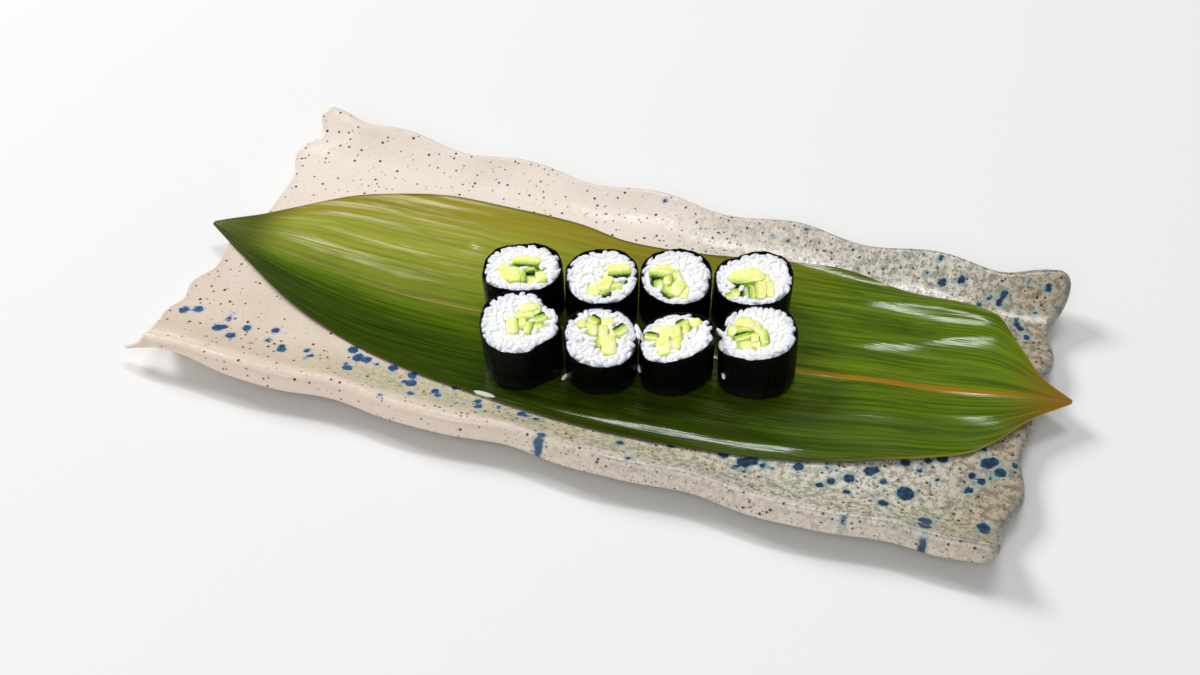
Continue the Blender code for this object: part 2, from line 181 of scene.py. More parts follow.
def bump(tree, height, strength, distance_mm, normal=None):
    names = {"Height": height, "Strength": strength, "Distance": distance_mm * MM}
    if normal is not None:
        names["Normal"] = normal
    return put(tree, "ShaderNodeBump", 0, names)


def new_finish(name, **uniform):
    """A material with its Principled shader, whose uniform values sit on its own sockets."""
    finish = bpy.data.materials.new(name)
    finish.use_nodes = True
    shader = finish.node_tree.nodes["Principled BSDF"]
    for key, value in uniform.items():
        shader.inputs[key.replace("_", " ")].default_value = value
    return finish, finish.node_tree, shader


def feed(tree, shader, **sockets):
    for key, value in sockets.items():
        tree.links.new(value, shader.inputs[key.replace("_", " ")])


def make_group(name, numbers, outputs):
    """An empty node group with a Vector input, named number inputs and named outputs."""
    group = bpy.data.node_groups.new(name, "ShaderNodeTree")
    group.interface.new_socket("Vector", in_out="INPUT", socket_type="NodeSocketVector")
    for key, value in numbers.items():
        socket = group.interface.new_socket(key, in_out="INPUT", socket_type="NodeSocketFloat")
        socket.default_value = value
    for key in outputs:
        group.interface.new_socket(key, in_out="OUTPUT", socket_type="NodeSocketFloat")
    return group, group.nodes.new("NodeGroupInput").outputs, group.nodes.new("NodeGroupOutput").inputs


def use(tree, group, out=0, **inputs):
    node = tree.nodes.new("ShaderNodeGroup")
    node.node_tree = group
    for key, value in inputs.items():
        if isinstance(value, bpy.types.NodeSocket):
            tree.links.new(value, node.inputs[key.replace("_", " ")])
        else:
            node.inputs[key.replace("_", " ")].default_value = value
    return node.outputs[out]


# %% The speckle group
speckle, given, gives = make_group(
    "speckle", {"Spacing": 5.0, "Radius": 1.0, "Kept": 0.5, "Softness": 0.3, "Uneven": 0.6}, ("Mask", "Pick"))
cells = speckle.nodes.new("ShaderNodeTexVoronoi")
cells.feature = "F1"
scaled = put(speckle, "ShaderNodeVectorMath", 0, {0: given["Vector"]}, operation="SCALE")
speckle.links.new(calc(speckle, "DIVIDE", 1.0, given["Spacing"]), scaled.node.inputs["Scale"])
speckle.links.new(scaled, cells.inputs["Vector"])
cells.inputs["Scale"].default_value = 1.0
own = axes_of(speckle, cells.outputs["Color"])
reach = calc(speckle, "MULTIPLY", cells.outputs["Distance"], given["Spacing"])
size = calc(speckle, "MULTIPLY", given["Radius"],
            calc(speckle, "SUBTRACT", 1.0, calc(speckle, "MULTIPLY", own[1], given["Uneven"])))
edge = calc(speckle, "DIVIDE", calc(speckle, "SUBTRACT", size, reach),
            calc(speckle, "MULTIPLY", given["Radius"], given["Softness"]))
dot = calc(speckle, "MULTIPLY", put(speckle, "ShaderNodeClamp", 0, {0: edge}),
           calc(speckle, "LESS_THAN", own[0], given["Kept"]))
speckle.links.new(dot, gives["Mask"])
speckle.links.new(own[2], gives["Pick"])
print("group:", speckle.name, "with", len(speckle.nodes), "nodes")

# %% [markdown]
# ## The plate
# The real plate is one slab of clay. Its long sides are bent up and rolled over into a soft lip,
# and its short sides are left flat and cut in scallops. It could be thrown as a box and
# sculpted, but a slab has one simple rule: a section across it, which slides along it while its
# reach and height swell and shrink. So the section is drawn once, smoothed, and swept.

# %% Sizes of the slab
FLOOR_TOP, SLAB, FLAT_HALF = 9.0, 4.7, 50.0
BACK_REACH, FRONT_REACH = 71.4, 71.2
BACK_WAVE, FRONT_WAVE = (2.1, 55.75, -116.0), (1.3, 66.0, -48.0)
BACK_CREST, CORNER_LIFT, FRONT_CREST, LIP_DROP, LIP_FADE = 14.6, 4.4, 15.4, 7.5, 4.1
HORN_TIP, HORN_DROOP, HORN_ROOT = -161.8, 4.6, -0.982
LIP_TURN = 3.0
RIM_ROUND, BACK_CORNER, FRONT_CORNER, HALF_LENGTH, MIDDLE = 1.8, 7.0, 2.0, 155.5, 1.0
LEFT_EDGE = ((-70, 155.0), (-58, 157.8), (-51, 159.3), (-42, 156.2), (-34, 158.2), (-22, 153.8),
             (-7, 156.3), (14, 151.0), (36, 151.6), (53, 158.0), (63, 150.8), (70, 154.0))
RIGHT_EDGE = ((-68, 153.4), (-57, 154.0), (-50, 152.9), (-34, 157.6), (-14, 153.9), (1, 155.2),
              (17, 153.0), (34, 157.5), (50, 153.4), (66, 157.2), (72, 156.6))


def smooth(t):
    t = np.clip(t, 0.0, 1.0)
    return t * t * (3.0 - 2.0 * t)


def ease(x, stops):
    """Values at x, eased through a table of stops."""
    at, value = np.array(stops, float).T
    x = np.clip(x, at[0], at[-1])
    k = np.clip(np.searchsorted(at, x, side="right") - 1, 0, len(at) - 2)
    t = (x - at[k]) / (at[k + 1] - at[k])
    return value[k] + (value[k + 1] - value[k]) * (0.5 - 0.5 * np.cos(math.pi * t))


def long_side(x, back):
    """Reach of the rolled lip and height of its crest at x."""
    depth, length, crest = BACK_WAVE if back else FRONT_WAVE
    wave = depth * np.cos(2.0 * math.pi * (x - crest) / length)
    end = smooth((np.abs(x) - 128.0) / 26.0)
    s = np.abs(x) / 155.0
    small = 0.18 * np.sin(x / 5.3 + 1.0) + 0.14 * np.sin(x / 8.9)
    if back:
        reach = BACK_REACH - 0.006 * x + wave * (1.0 - 0.6 * end) + 3.6 * end
        return reach + small, BACK_CREST + CORNER_LIFT * s ** 2.6 + 0.15 * wave - small
    reach = FRONT_REACH - 0.011 * x + wave * (1.0 - 0.7 * end) - 2.6 * smooth((x - 92.0) / 50.0)
    return reach + small, FRONT_CREST + 0.8 * s ** 4 + 0.2 * wave - small


def wall_height(y, reach, crest):
    s = np.clip((y - FLAT_HALF) / (reach - 5.2 - FLAT_HALF), 0.0, 1.0)
    return FLOOR_TOP + (crest - 0.9 - FLOOR_TOP) * s ** 1.55


def section(x, back):
    """Upper and lower chain of points of one long side, from the lip's tip in to the floor."""
    reach, crest = long_side(x, back)
    fade = 0.0 * x if back else smooth((-x - 112.0) / 40.0)
    t = 0.0 * x if back else np.clip((x - 150.0) / 5.5, 0.0, 1.0)
    turn = 1.0 - np.sqrt(1.0 - t * t)
    drop = LIP_DROP - LIP_FADE * fade - LIP_TURN * turn
    mid = 0.5 * (reach - 5.2 + FLAT_HALF)
    flat = np.zeros_like(x)
    tip = (reach - 1.6, crest - drop - 0.9)
    upper = [tip, (reach, crest - drop), (reach - 0.1, crest - 0.56 * drop), (reach - 0.9, crest - 0.17 * drop),
             (reach - 2.9, crest), (reach - 5.2, crest - 0.9), (reach - 7.6, wall_height(reach - 7.6, reach, crest)),
             (mid + 1.5, wall_height(mid + 1.5, reach, crest)),
             (mid - 3.5, wall_height(mid - 3.5, reach, crest)), (flat + FLAT_HALF, flat + FLOOR_TOP)]
    low = mid - 1.5
    lower = [tip, (reach - 3.2, crest - LIP_DROP + 2.9 * fade + 2.6 * turn),
             (reach - 3.6, crest - 5.4 + 0.7 * fade + 0.6 * turn),
             (reach - 4.2, crest - 4.8),
             (reach - 5.2, crest - 4.7), (reach - 6.4, crest - 5.0),
             (reach - 9.0, wall_height(reach - 8.0, reach, crest) - 4.9),
             (low, wall_height(low, reach, crest) - SLAB - 0.3),
             (mid - 5.0, wall_height(mid - 4.0, reach, crest) - SLAB - 0.1),
             (flat + FLAT_HALF - 1.5, flat + FLOOR_TOP - SLAB)]
    return upper, lower


def through(points, before, after, steps):
    """A smooth curve through a chain of points, as arrays over the columns."""
    chain = [before, *points, after]
    out = []
    for k in range(1, len(chain) - 2):
        p0, p1, p2, p3 = (np.stack(p) for p in chain[k - 1:k + 3])
        for t in np.arange(steps) / steps:
            out.append(0.5 * (2 * p1 + (p2 - p0) * t + (2 * p0 - 5 * p1 + 4 * p2 - p3) * t ** 2
                              + (3 * p1 - p0 - 3 * p2 + p3) * t ** 3))
    out.append(np.stack(chain[-2]))
    return out


def placed(u, y):
    """x of a column at y: scalloped ends with rounded corners, which fade out towards the middle."""
    back = y.mean() > 0.0
    corner = BACK_CORNER if back else FRONT_CORNER
    t = np.clip((np.abs(y) - long_side(u * HALF_LENGTH, back)[0]) / corner + 1.0, 0.0, 1.0)
    end = np.where(u < 0.0, ease(y, LEFT_EDGE), ease(y, RIGHT_EDGE)) - RIM_ROUND
    end = end - corner * (1.0 - np.sqrt(1.0 - t * t))
    return u * (HALF_LENGTH + (end - HALF_LENGTH) * smooth((np.abs(u) - 0.72) / 0.28))


print("lip at the middle:", [round(float(v), 1) for v in long_side(np.zeros(1), True)])

# %% Sweeping the slab
FLOOR_STEPS, CURVE_STEPS = 64, 3
u = np.concatenate([np.linspace(-1.0, HORN_ROOT, 9)[:-1], np.linspace(HORN_ROOT, 1.0, 244)])
PLATE_COLUMNS = len(u)
along = u * HALF_LENGTH
finger = np.clip((HORN_ROOT - u) / (1.0 + HORN_ROOT), 0.0, 1.0) ** 1.3
chains = {}
for back in (False, True):
    upper, lower = section(along, back)
    inward = (upper[-1][0] - 5.0, upper[-1][1])
    inward_low = (lower[-1][0] - 5.0, lower[-1][1])
    chains[back] = (through(upper, lower[1], inward, CURVE_STEPS),
                    through(lower, upper[1], inward_low, CURVE_STEPS))
    if not back:
        chains[back] = tuple([np.stack([-y, z]) for y, z in chain] for chain in chains[back])

surfaces = []
for which in (0, 1):
    front, rear = chains[False][which], chains[True][which]
    shares = np.arange(1, FLOOR_STEPS) / FLOOR_STEPS
    floor = [front[-1] + (rear[-1] - front[-1]) * t for t in shares]
    rows = front + floor + rear[::-1]
    sheet = np.stack([np.stack([placed(u, y), y - MIDDLE, z], -1) for y, z in rows])
    joins = np.interp(np.arange(len(rows)) / CURVE_STEPS, (0, 1, 2, 3, 4), (1.0, 1.0, 0.4, 0.1, 0.0))
    pull = joins[:, None] * finger
    sheet[..., 0] += (HORN_TIP - sheet[..., 0]) * pull
    sheet[..., 2] -= HORN_DROOP * pull
    surfaces.append(sheet)
top, under = surfaces
hand = 0.14 * np.sin(top[..., 0] / 19.0 + 0.7) * np.sin(top[..., 1] / 15.0) + 0.08 * np.sin(top[..., 0] / 7.7)
top[1:-1, :, 2] += hand[1:-1]
ROWS = top.shape[0]
print("slab grid:", ROWS, "rows by", PLATE_COLUMNS)

# %% [markdown]
# The short edges are rounded by a few rows that bulge out between the upper and the lower
# surface. The thin glaze on every edge and crest looks darker, and the rounded edges also get
# painted shade, strongest and bluest at the grey end, so each point also stores how near an edge
# it is. The hidden underside is kept plain: a flat slab on a low foot ring, which such plates
# have so that they stand steady.

# %% The blue spots: place along, place across and radius of each
SPOTS = (
    (-152, -48.5, 1.9), (-147, -46.5, 1.9), (-133.7, -47.5, 1.2), (-134.8, -53.5, 2.1), (-132.6, -51.8, 1.2),
    (-136.5, -52, 0.9), (-128, -56, 2.0), (-125, -49.5, 1.7), (-114.5, -47, 1.6), (-114.3, -52.8, 1.4),
    (-108, -54.2, 1.3), (-107, -56, 1.9), (-98.5, -52.8, 1.4), (-95.5, -55, 1.2), (-83, -46.5, 2.0),
    (-79.5, -49.5, 2.2), (-76, -49.5, 1.8), (-80, -57, 2.0), (-82, -54.6, 1.0), (-65.5, -50, 1.9),
    (-71.8, -50.5, 1.0), (-133.5, -44.3, 0.8), (-119, -57, 0.9), (-96.5, -57.6, 0.9),
    (-57.5, -51, 1.8), (-55.8, -55.5, 2.2), (-58.5, -55.8, 1.2), (-52.8, -61.8, 1.5), (-46, -56.5, 1.6),
    (-44, -58.5, 1.5), (-40.5, -51.5, 1.5), (-28.5, -59, 1.6), (-30, -55.8, 1.5), (-22, -56.3, 1.2),
    (-13, -56.8, 1.8), (-11, -57.6, 1.0), (-7.5, -57.7, 1.2), (-36, -60.5, 0.8), (-33.5, -59.2, 0.8),
    (-1.3, -67.5, 1.5), (-1.5, -69.9, 1.7), (23.7, -58.3, 1.5), (29.7, -67.3, 1.1), (40, -52, 1.4),
    (33, -53.5, 0.8), (-61, -69, 0.8), (58, -49.3, 2.2), (65.5, -50.8, 2.5), (68, -48.8, 2.1),
    (63.2, -54.8, 1.2), (66.7, -55.3, 1.0), (71.8, -49.8, 1.2), (73, -46.2, 0.8), (75, -50, 0.8),
    (83.3, -46.2, 1.9), (89, -46, 0.7), (92.7, -43.2, 1.0), (95.6, -43.2, 0.8), (92, -52, 1.5),
    (95.3, -48.8, 1.6), (100.7, -45.5, 2.0), (101.3, -52, 1.3), (106.5, -40.2, 2.1), (108.2, -38.8, 1.4),
    (111.8, -43.1, 1.4), (109.4, -50.5, 0.7), (113.8, -53, 1.9), (119.8, -45.8, 3.1), (128.5, -57.5, 2.4),
    (128.8, -61.5, 2.3), (129.5, -67.8, 1.3), (146.8, -51.8, 2.3), (147.3, -54.4, 1.9), (143.2, -23.2, 2.5),
    (145, -21.5, 1.9), (148, -25.8, 2.1), (139.3, -30.3, 1.6), (142.7, -31.9, 1.6), (145.2, -29, 0.9),
    (139.4, -37, 1.6), (128.4, -26, 2.1), (124, -28.7, 1.5), (122.3, -34, 1.2), (128.8, -36.2, 1.0),
    (117, -32.2, 1.9), (152.3, -21, 1.5), (141, -17, 1.2), (103.5, -68, 0.9), (132, -53, 0.8),
    (111.2, 59.4, 1.8), (117.9, 61.4, 1.6), (104.6, 61.5, 1.0), (108.3, 68, 1.1), (134.3, 59.7, 1.4),
    (133.2, 56.2, 1.5), (129.4, 57.2, 1.0), (126.4, 54, 1.1), (149.2, 65.2, 1.5), (141.2, 49, 1.5),
    (143, 47, 1.4), (145.7, 43, 1.5), (146.8, 55.5, 0.8), (142, 65.3, 0.7), (153.6, 59.5, 0.8),
    (140.8, 51.8, 1.0), (-1.6, 67.8, 0.9), (43.8, 62.7, 0.9), (50.2, 62.5, 1.0), (55.9, 68.3, 0.8),
)


def spot_depth(x, y):
    """How far inside the nearest spot a point is; negative outside, in millimetres."""
    inside = np.full(x.shape, -4.0)
    for at_x, at_y, radius in SPOTS:
        inside = np.maximum(inside, radius - np.hypot(x - at_x, y - at_y))
    return inside


spot_in = [spot_depth(top[..., 0], top[..., 1] + MIDDLE), np.full(top.shape[:2], -4.0)]
print("spots:", len(SPOTS))

# %% Rounding the ends and adding the foot
points = [top.reshape(-1, 3), under.reshape(-1, 3)]
count = ROWS * PLATE_COLUMNS
faces = [grid_faces(ROWS, PLATE_COLUMNS), grid_faces(ROWS, PLATE_COLUMNS, count, flip=True)]
edge_glaze_and_shade = [np.zeros((ROWS, PLATE_COLUMNS)) for _ in range(2)]
crest_row = 4 * CURVE_STEPS
row_at = np.arange(ROWS)
near_crest = np.maximum(np.exp(-((row_at - crest_row + 1) / 2.4) ** 2),
                        np.exp(-((row_at - (ROWS - 1 - crest_row) - 1) / 2.4) ** 2))
for k, sheet in enumerate(surfaces):
    end = np.where(sheet[..., 0] < 0, ease(sheet[..., 1] + MIDDLE, LEFT_EDGE), ease(sheet[..., 1] + MIDDLE, RIGHT_EDGE))
    gap = np.clip(end - np.abs(sheet[..., 0]), 0.0, None)
    edge_glaze_and_shade[k] = np.maximum(np.exp(-((gap - 1.0) / 1.7) ** 2), 0.75 * near_crest[:, None])
edge_darkness = [w.ravel() for w in edge_glaze_and_shade]
blue = [d.ravel() for d in spot_in]
start = 2 * count
shares = (0.08, 0.22, 0.4, 0.6, 0.78, 0.92)
for column in (0, PLATE_COLUMNS - 1):
    a, b = top[:, column], under[:, column]
    out = np.minimum(RIM_ROUND, 0.5 * np.linalg.norm(a - b, axis=1)) if column else RIM_ROUND
    rims = [a]
    for t in shares:
        rim = a + (b - a) * t
        rim[:, 0] += math.copysign(1.0, column - 1) * out * math.sqrt(1.0 - (2.0 * t - 1.0) ** 2)
        rims.append(rim)
    rims.append(b)
    block = np.stack(rims)
    points.append(block.reshape(-1, 3))
    edge_darkness.append(np.full(block.shape[0] * block.shape[1], 1.0))
    blue.append(np.concatenate([spot_in[0][:, column], np.full(block[1:].size // 3, -4.0)]))
    faces.append(grid_faces(block.shape[0], block.shape[1], start))
    start += block.shape[0] * block.shape[1]

FOOT_HALF = np.array([104.0, 37.0])
FOOT_WIDTH, FOOT_CORNER, FOOT_TOP = 6.5, 13.0, FLOOR_TOP - SLAB
ring = []
for inset, z in ((-0.8, FOOT_TOP + 0.4), (0.0, 0.5), (0.5, 0.0), (FOOT_WIDTH - 0.5, 0.0),
                 (FOOT_WIDTH, 0.5), (FOOT_WIDTH + 0.8, FOOT_TOP + 0.4)):
    angle = np.linspace(0.0, 2.0 * math.pi, 96, endpoint=False) + 0.01
    corner = FOOT_CORNER - inset
    ring.append(np.stack([np.sign(np.cos(angle)) * (FOOT_HALF[0] - FOOT_CORNER) + corner * np.cos(angle),
                          np.sign(np.sin(angle)) * (FOOT_HALF[1] - FOOT_CORNER) + corner * np.sin(angle) - MIDDLE,
                          np.full_like(angle, z)], -1))
ring.append(ring[0])
points.append(np.concatenate(ring))
edge_darkness.append(np.zeros(len(ring) * 96))
blue.append(np.full(len(ring) * 96, -4.0))
faces.append(grid_faces(len(ring), 96, start, wrap=True))
plate = make_piece("plate_body", np.concatenate(points), np.concatenate(faces),
                   {"edge_glaze_and_shade": np.concatenate(edge_darkness), "spot_in": np.concatenate(blue)}, sharp=60.0)
print("plate length:", round(float(np.ptp(np.concatenate(points)[:, 0])), 1), "mm")

# %% [markdown]
# The glaze is cream and slightly pink at one end and turns grey-beige towards the other. Brown
# pinholes of iron burn through everywhere, finer and denser where it is grey. Dark blue spots
# with a pale watery halo gather along the front slope and at the grey end. All of this is
# worked out from the place on the plate, so it holds for any view and needs no picture.

# %% The glaze
glaze, tree, shader = new_finish("speckled_glaze", IOR=1.5)
spot = in_millimetres(tree)
x, y, z = axes_of(tree, spot)
drift = noise(tree, spot, 0.02, 3.0)
slope = span(tree, calc(tree, "MULTIPLY", y, -1.0), 46.0, 55.0)
greyness = calc(tree, "ADD", calc(tree, "ADD", x, calc(tree, "MULTIPLY", drift, 60.0)), calc(tree, "MULTIPLY", slope, 42.0))
greyness = span(tree, greyness, 10.0, 128.0)
cloud = noise(tree, spot, 0.07, 4.0)
grain = noise(tree, stretched(tree, spot, (1.0, 0.55, 0.55)), 0.95, 6.0, 0.72)
blotch = noise(tree, spot, 0.42, 5.0, 0.6)
cream = blend(tree, cloud, (0.69, 0.57, 0.46), (0.80, 0.70, 0.60))
# Partly the glaze's own tone, partly painted light and shade: paler towards the back wall, which faces the light, and
# darker tan on the front slope, which lies in shade.
cream = blend(tree, span(tree, y, -35.0, 40.0, 0.0, 0.75), cream, (0.92, 0.82, 0.73))
cream = blend(tree, calc(tree, "MULTIPLY", slope, 0.55), cream, (0.72, 0.60, 0.43))
# Painted light: the outer face of the front lip, which faces the front lamp, is painted paler and pinker.
cream = blend(tree, span(tree, calc(tree, "MULTIPLY", y, -1.0), 64.0, 70.0, 0.0, 0.8), cream, (0.93, 0.78, 0.66))
cream = blend(tree, span(tree, grain, 0.52, 0.78, 0.0, 0.30), cream, (0.50, 0.38, 0.26))
pale = blend(tree, blotch, (0.64, 0.59, 0.49), (0.80, 0.80, 0.74))
olive = blend(tree, cloud, (0.25, 0.19, 0.11), (0.20, 0.26, 0.18))
grey = blend(tree, span(tree, blotch, 0.42, 0.62, 0.0, 0.80), pale, olive)
grey = blend(tree, span(tree, grain, 0.51, 0.65, 0.0, 0.90), grey, (0.145, 0.095, 0.052))
# Painted shade at the right end: the grey glaze turns darker and browner there, partly its own browner glaze.
far = span(tree, x, 110.0, 154.0, 0.0, 0.72)
grey = blend(tree, far, grey, blend(tree, span(tree, blotch, 0.42, 0.6), (0.36, 0.27, 0.15), (0.15, 0.13, 0.075)))
colour = blend(tree, calc(tree, "MULTIPLY", greyness, 0.95), cream, grey)
run = calc(tree, "MULTIPLY", slope, span(tree, calc(tree, "MULTIPLY", y, -1.0), 68.0, 61.0))
run = calc(tree, "MULTIPLY", run, calc(tree, "MULTIPLY", span(tree, x, -115.0, -60.0), span(tree, x, 70.0, 5.0, 0.3, 1.0)))
ochre = blend(tree, span(tree, blotch, 0.40, 0.62), (0.66, 0.55, 0.34), (0.38, 0.42, 0.27))
colour = blend(tree, calc(tree, "MULTIPLY", run, 0.75), colour, ochre)
lip = span(tree, calc(tree, "MULTIPLY", y, -1.0), 65.5, 68.5, 0.0, 0.62)
lip = calc(tree, "MULTIPLY", lip, span(tree, grain, 0.66, 0.50, 0.55, 1.0))
colour = blend(tree, lip, colour, (0.86, 0.72, 0.60))
for spacing, radius, kept, tint in ((2.5, 0.80, 0.95, (0.070, 0.028, 0.012)), (1.25, 0.42, 0.80, (0.12, 0.058, 0.022))):
    mask = use(tree, speckle, Vector=spot, Spacing=spacing, Radius=radius, Kept=kept, Softness=0.45)
    if spacing < 2.0:
        mask = calc(tree, "MULTIPLY", mask, calc(tree, "MAXIMUM", run, span(tree, greyness, 0.0, 0.6, 0.22, 0.9)))
    colour = blend(tree, mask, colour, tint)

depth = put(tree, "ShaderNodeAttribute", 2, attribute_name="spot_in")
shake = calc(tree, "SUBTRACT", noise(tree, spot, 0.8, 3.0), 0.5)
depth = calc(tree, "ADD", depth, calc(tree, "MULTIPLY", shake, 1.5))
rich = calc(tree, "ADD", calc(tree, "MULTIPLY", span(tree, x, 92.0, 125.0), 0.50), calc(tree, "MULTIPLY", run, 0.45))
extra = use(tree, speckle, Vector=spot, Spacing=3.6, Radius=1.15, Kept=rich, Softness=0.6)
depth = calc(tree, "MAXIMUM", depth, span(tree, extra, 0.0, 1.0, -4.0, 0.5, smooth=False))
halo = span(tree, depth, -1.15, -0.45)
core = span(tree, depth, -0.35, 0.35)
halo_tint = blend(tree, greyness, (0.52, 0.54, 0.60), (0.28, 0.41, 0.40))
colour = blend(tree, calc(tree, "MULTIPLY", halo, 0.62), colour, halo_tint)
ink = blend(tree, span(tree, x, -20.0, 60.0), (0.006, 0.048, 0.140), (0.003, 0.012, 0.045))
wash = blend(tree, span(tree, x, -20.0, 60.0), (0.028, 0.150, 0.290), (0.012, 0.075, 0.16))
ink = blend(tree, span(tree, blotch, 0.42, 0.62, 0.0, 0.75), ink, wash)
colour = blend(tree, calc(tree, "MULTIPLY", core, 0.96), colour, ink)

# Darker edges and crests: the thin glaze there, and painted shade on the rounded edges, bluest at the grey end.
thin_glaze_and_shade = put(tree, "ShaderNodeAttribute", 2, attribute_name="edge_glaze_and_shade")
thin_glaze_and_shade = calc(tree, "MULTIPLY", thin_glaze_and_shade, span(tree, noise(tree, spot, 0.5, 3.0), 0.3, 0.7, 0.3, 0.85))
edge_tint = blend(tree, greyness, (0.42, 0.33, 0.26), (0.17, 0.19, 0.20))
colour = blend(tree, calc(tree, "MULTIPLY", thin_glaze_and_shade, span(tree, greyness, 0.0, 1.0, 0.30, 0.75)), colour, edge_tint)
bare = span(tree, z, 0.9, 0.5)
colour = blend(tree, bare, colour, (0.42, 0.33, 0.25))
gloss = calc(tree, "MAXIMUM", span(tree, grain, 0.3, 0.7, 0.15, 0.26), calc(tree, "MULTIPLY", bare, 0.8))
relief = bump(tree, grain, 0.14, 0.3)
relief = bump(tree, noise(tree, spot, 0.12, 2.0), 0.25, 1.2, relief)
feed(tree, shader, Base_Color=colour, Roughness=gloss, Normal=relief)
dress(plate, glaze, ["plate"])

# %% [markdown]
# ## The leaf
# A bamboo leaf is a stiff, waxy blade: fine veins run side by side from the stalk to the tip,
# a pale midrib divides it, and it keeps folds where it was bent. It is drawn as stations of
# width along the midrib, laid over the plate's own height, so it climbs the walls where it
# reaches them and lies flat under the rolls. Two ridges near the stalk end and a fold along
# the front margin are added as soft bumps along lines.

# %% The blade
LEAF_STATIONS = ((-166.0, -0.4, -1.2, -2.0), (-148, 11.2, -6.5, -13.6), (-118, 33.2, -12.0, -31.6),
                 (-86, 43.8, -15.0, -43.9), (-56, 46.6, -13.8, -50.1), (-30, 47.0, -11.5, -53.0),
                 (-8, 43.2, -9.8, -54.8), (20, 45.4, -7.2, -54.6), (70, 54.6, -3.2, -47.6),
                 (104, 50.4, 2.0, -37.6), (133, 48.6, 6.8, -23.6), (143, 37.2, 8.8, -14.8),
                 (154, 22.6, 11.2, 0.4), (166.0, 14.8, 14.0, 13.2))
LEAF_LOW, LEAF_SKIN, GAP = 0.15, 0.5, 0.3


def spline(x, at, value):
    """Smooth curve through stations, as the solid's own."""
    n = len(at)
    k = np.clip(np.searchsorted(at, x, side="right") - 1, 0, n - 2)
    slope = np.array([(value[min(i + 1, n - 1)] - value[max(i - 1, 0)]) / (at[min(i + 1, n - 1)] - at[max(i - 1, 0)])
                      for i in range(n)])
    h = at[k + 1] - at[k]
    t = np.clip((x - at[k]) / h, 0.0, 1.0)
    return ((2 * t ** 3 - 3 * t ** 2 + 1) * value[k] + (t ** 3 - 2 * t ** 2 + t) * slope[k] * h
            + (3 * t ** 2 - 2 * t ** 3) * value[k + 1] + (t ** 3 - t ** 2) * slope[k + 1] * h)


def plate_height(x, y):
    rear, front = long_side(x, True), long_side(x, False)
    return np.where(y > 0.0, wall_height(np.abs(y), *rear), wall_height(np.abs(y), *front))


def leaf_under(x, y):
    climb = np.where(np.abs(x) > 150.0, 0.0, plate_height(x, y) - FLOOR_TOP)
    climb = climb + np.where(climb > 0.0, 0.35 * smooth(climb), 0.0)
    billow = 1.3 * smooth((x - 82.0) / 30.0) * (0.5 + 0.5 * np.sin(x / 11.0 + y / 17.0))
    billow = billow + 0.9 * smooth((-x - 62.0) / 30.0) * (0.5 + 0.5 * np.sin(y / 10.0 - x / 29.0))
    billow = billow + 0.7 * smooth((y - 34.0) / 10.0) * (0.5 + 0.5 * np.sin(x / 16.0))
    return FLOOR_TOP + GAP + climb + billow


def fold(x, y, stops, height, half_width):
    """A crease that runs through a few points of the leaf and fades out at its ends."""
    at_x, at_y = np.array(stops, float).T
    off = y - spline(x, at_x, at_y)
    t = (x - at_x[0]) / (at_x[-1] - at_x[0])
    peak = np.exp(-np.abs(off / half_width) ** 1.6)
    return height * peak * smooth(t / 0.3) * smooth((1.0 - t) / 0.15)


LEAF_COLUMNS, LEAF_HALF_ROWS = 280, 58
at, rear_edge, rib_line, front_edge = np.array(LEAF_STATIONS, float).T
t = np.linspace(0.0, 1.0, LEAF_COLUMNS)
lx = at[0] + (at[-1] - at[0]) * (t - 0.045 * np.sin(2.0 * math.pi * t))
margins = [spline(lx, at, v) for v in (front_edge, rib_line, rear_edge)]
across = np.linspace(-1.0, 1.0, 2 * LEAF_HALF_ROWS + 1)
across = np.sign(across) * np.abs(across) ** 1.15
ly = np.where(across[:, None] < 0, margins[1] + (margins[1] - margins[0]) * across[:, None],
              margins[1] + (margins[2] - margins[1]) * across[:, None])
lx2 = np.broadcast_to(lx, ly.shape)
lz = leaf_under(lx2, ly) + LEAF_LOW
off_rib = ly - margins[1]
rib_rise = (0.35 - 0.17 * smooth((lx2 - 55.0) / 20.0)) * smooth((lx2 + 120.0) / 70.0)
lz = lz + rib_rise * np.exp(-(off_rib / (0.8 + 0.6 * smooth((lx2 - 60) / 100))) ** 2)
lz = lz + fold(lx2, ly, ((70, 36), (88, 41.2), (102, 44.0), (118, 45.0), (140, 44.0)), 1.28, 4.6)
lz = lz + fold(lx2, ly, ((78, 14.5), (103, 23), (113, 27.8), (123, 32.2), (133, 36), (144, 39)), 1.06, 4.0)
lz = lz + fold(lx2, ly, ((-52, -50.5), (-16, -50.6), (13, -48.3), (34, -45.7), (60, -43.2), (92, -37)), 0.62, 2.2)
lz = lz + fold(lx2, ly, ((64, -26), (90, -19), (120, -9), (150, 1)), 0.55, 4.5)
lz = lz + fold(lx2, ly, ((-150, 4), (-122, 14), (-96, 20), (-52, 25)), 1.55, 6.0)
free = 1.0 - smooth((1.15 - np.hypot((lx2 - 12.0) / 66.0, (ly + 8.0) / 46.0)) / 0.2)
lz = lz + free * 0.12 * (1.0 + np.sin(ly / 1.9 + 0.6 * np.sin(lx2 / 23.0)) * np.sin(lx2 / 31.0 + 1.0))
blade_top = np.stack([lx2, ly - MIDDLE, lz + LEAF_SKIN], -1)
blade_low = np.stack([lx2, ly - MIDDLE, lz], -1)
rows, columns = ly.shape
points = np.concatenate([blade_top.reshape(-1, 3), blade_low.reshape(-1, 3)])
faces = [grid_faces(rows, columns), grid_faces(rows, columns, rows * columns, flip=True)]
index = np.arange(rows * columns).reshape(rows, columns)
border = np.concatenate([index[0], index[1:, -1], index[-1, -2::-1], index[-2:0:-1, 0]])
turn = np.roll(border, -1)
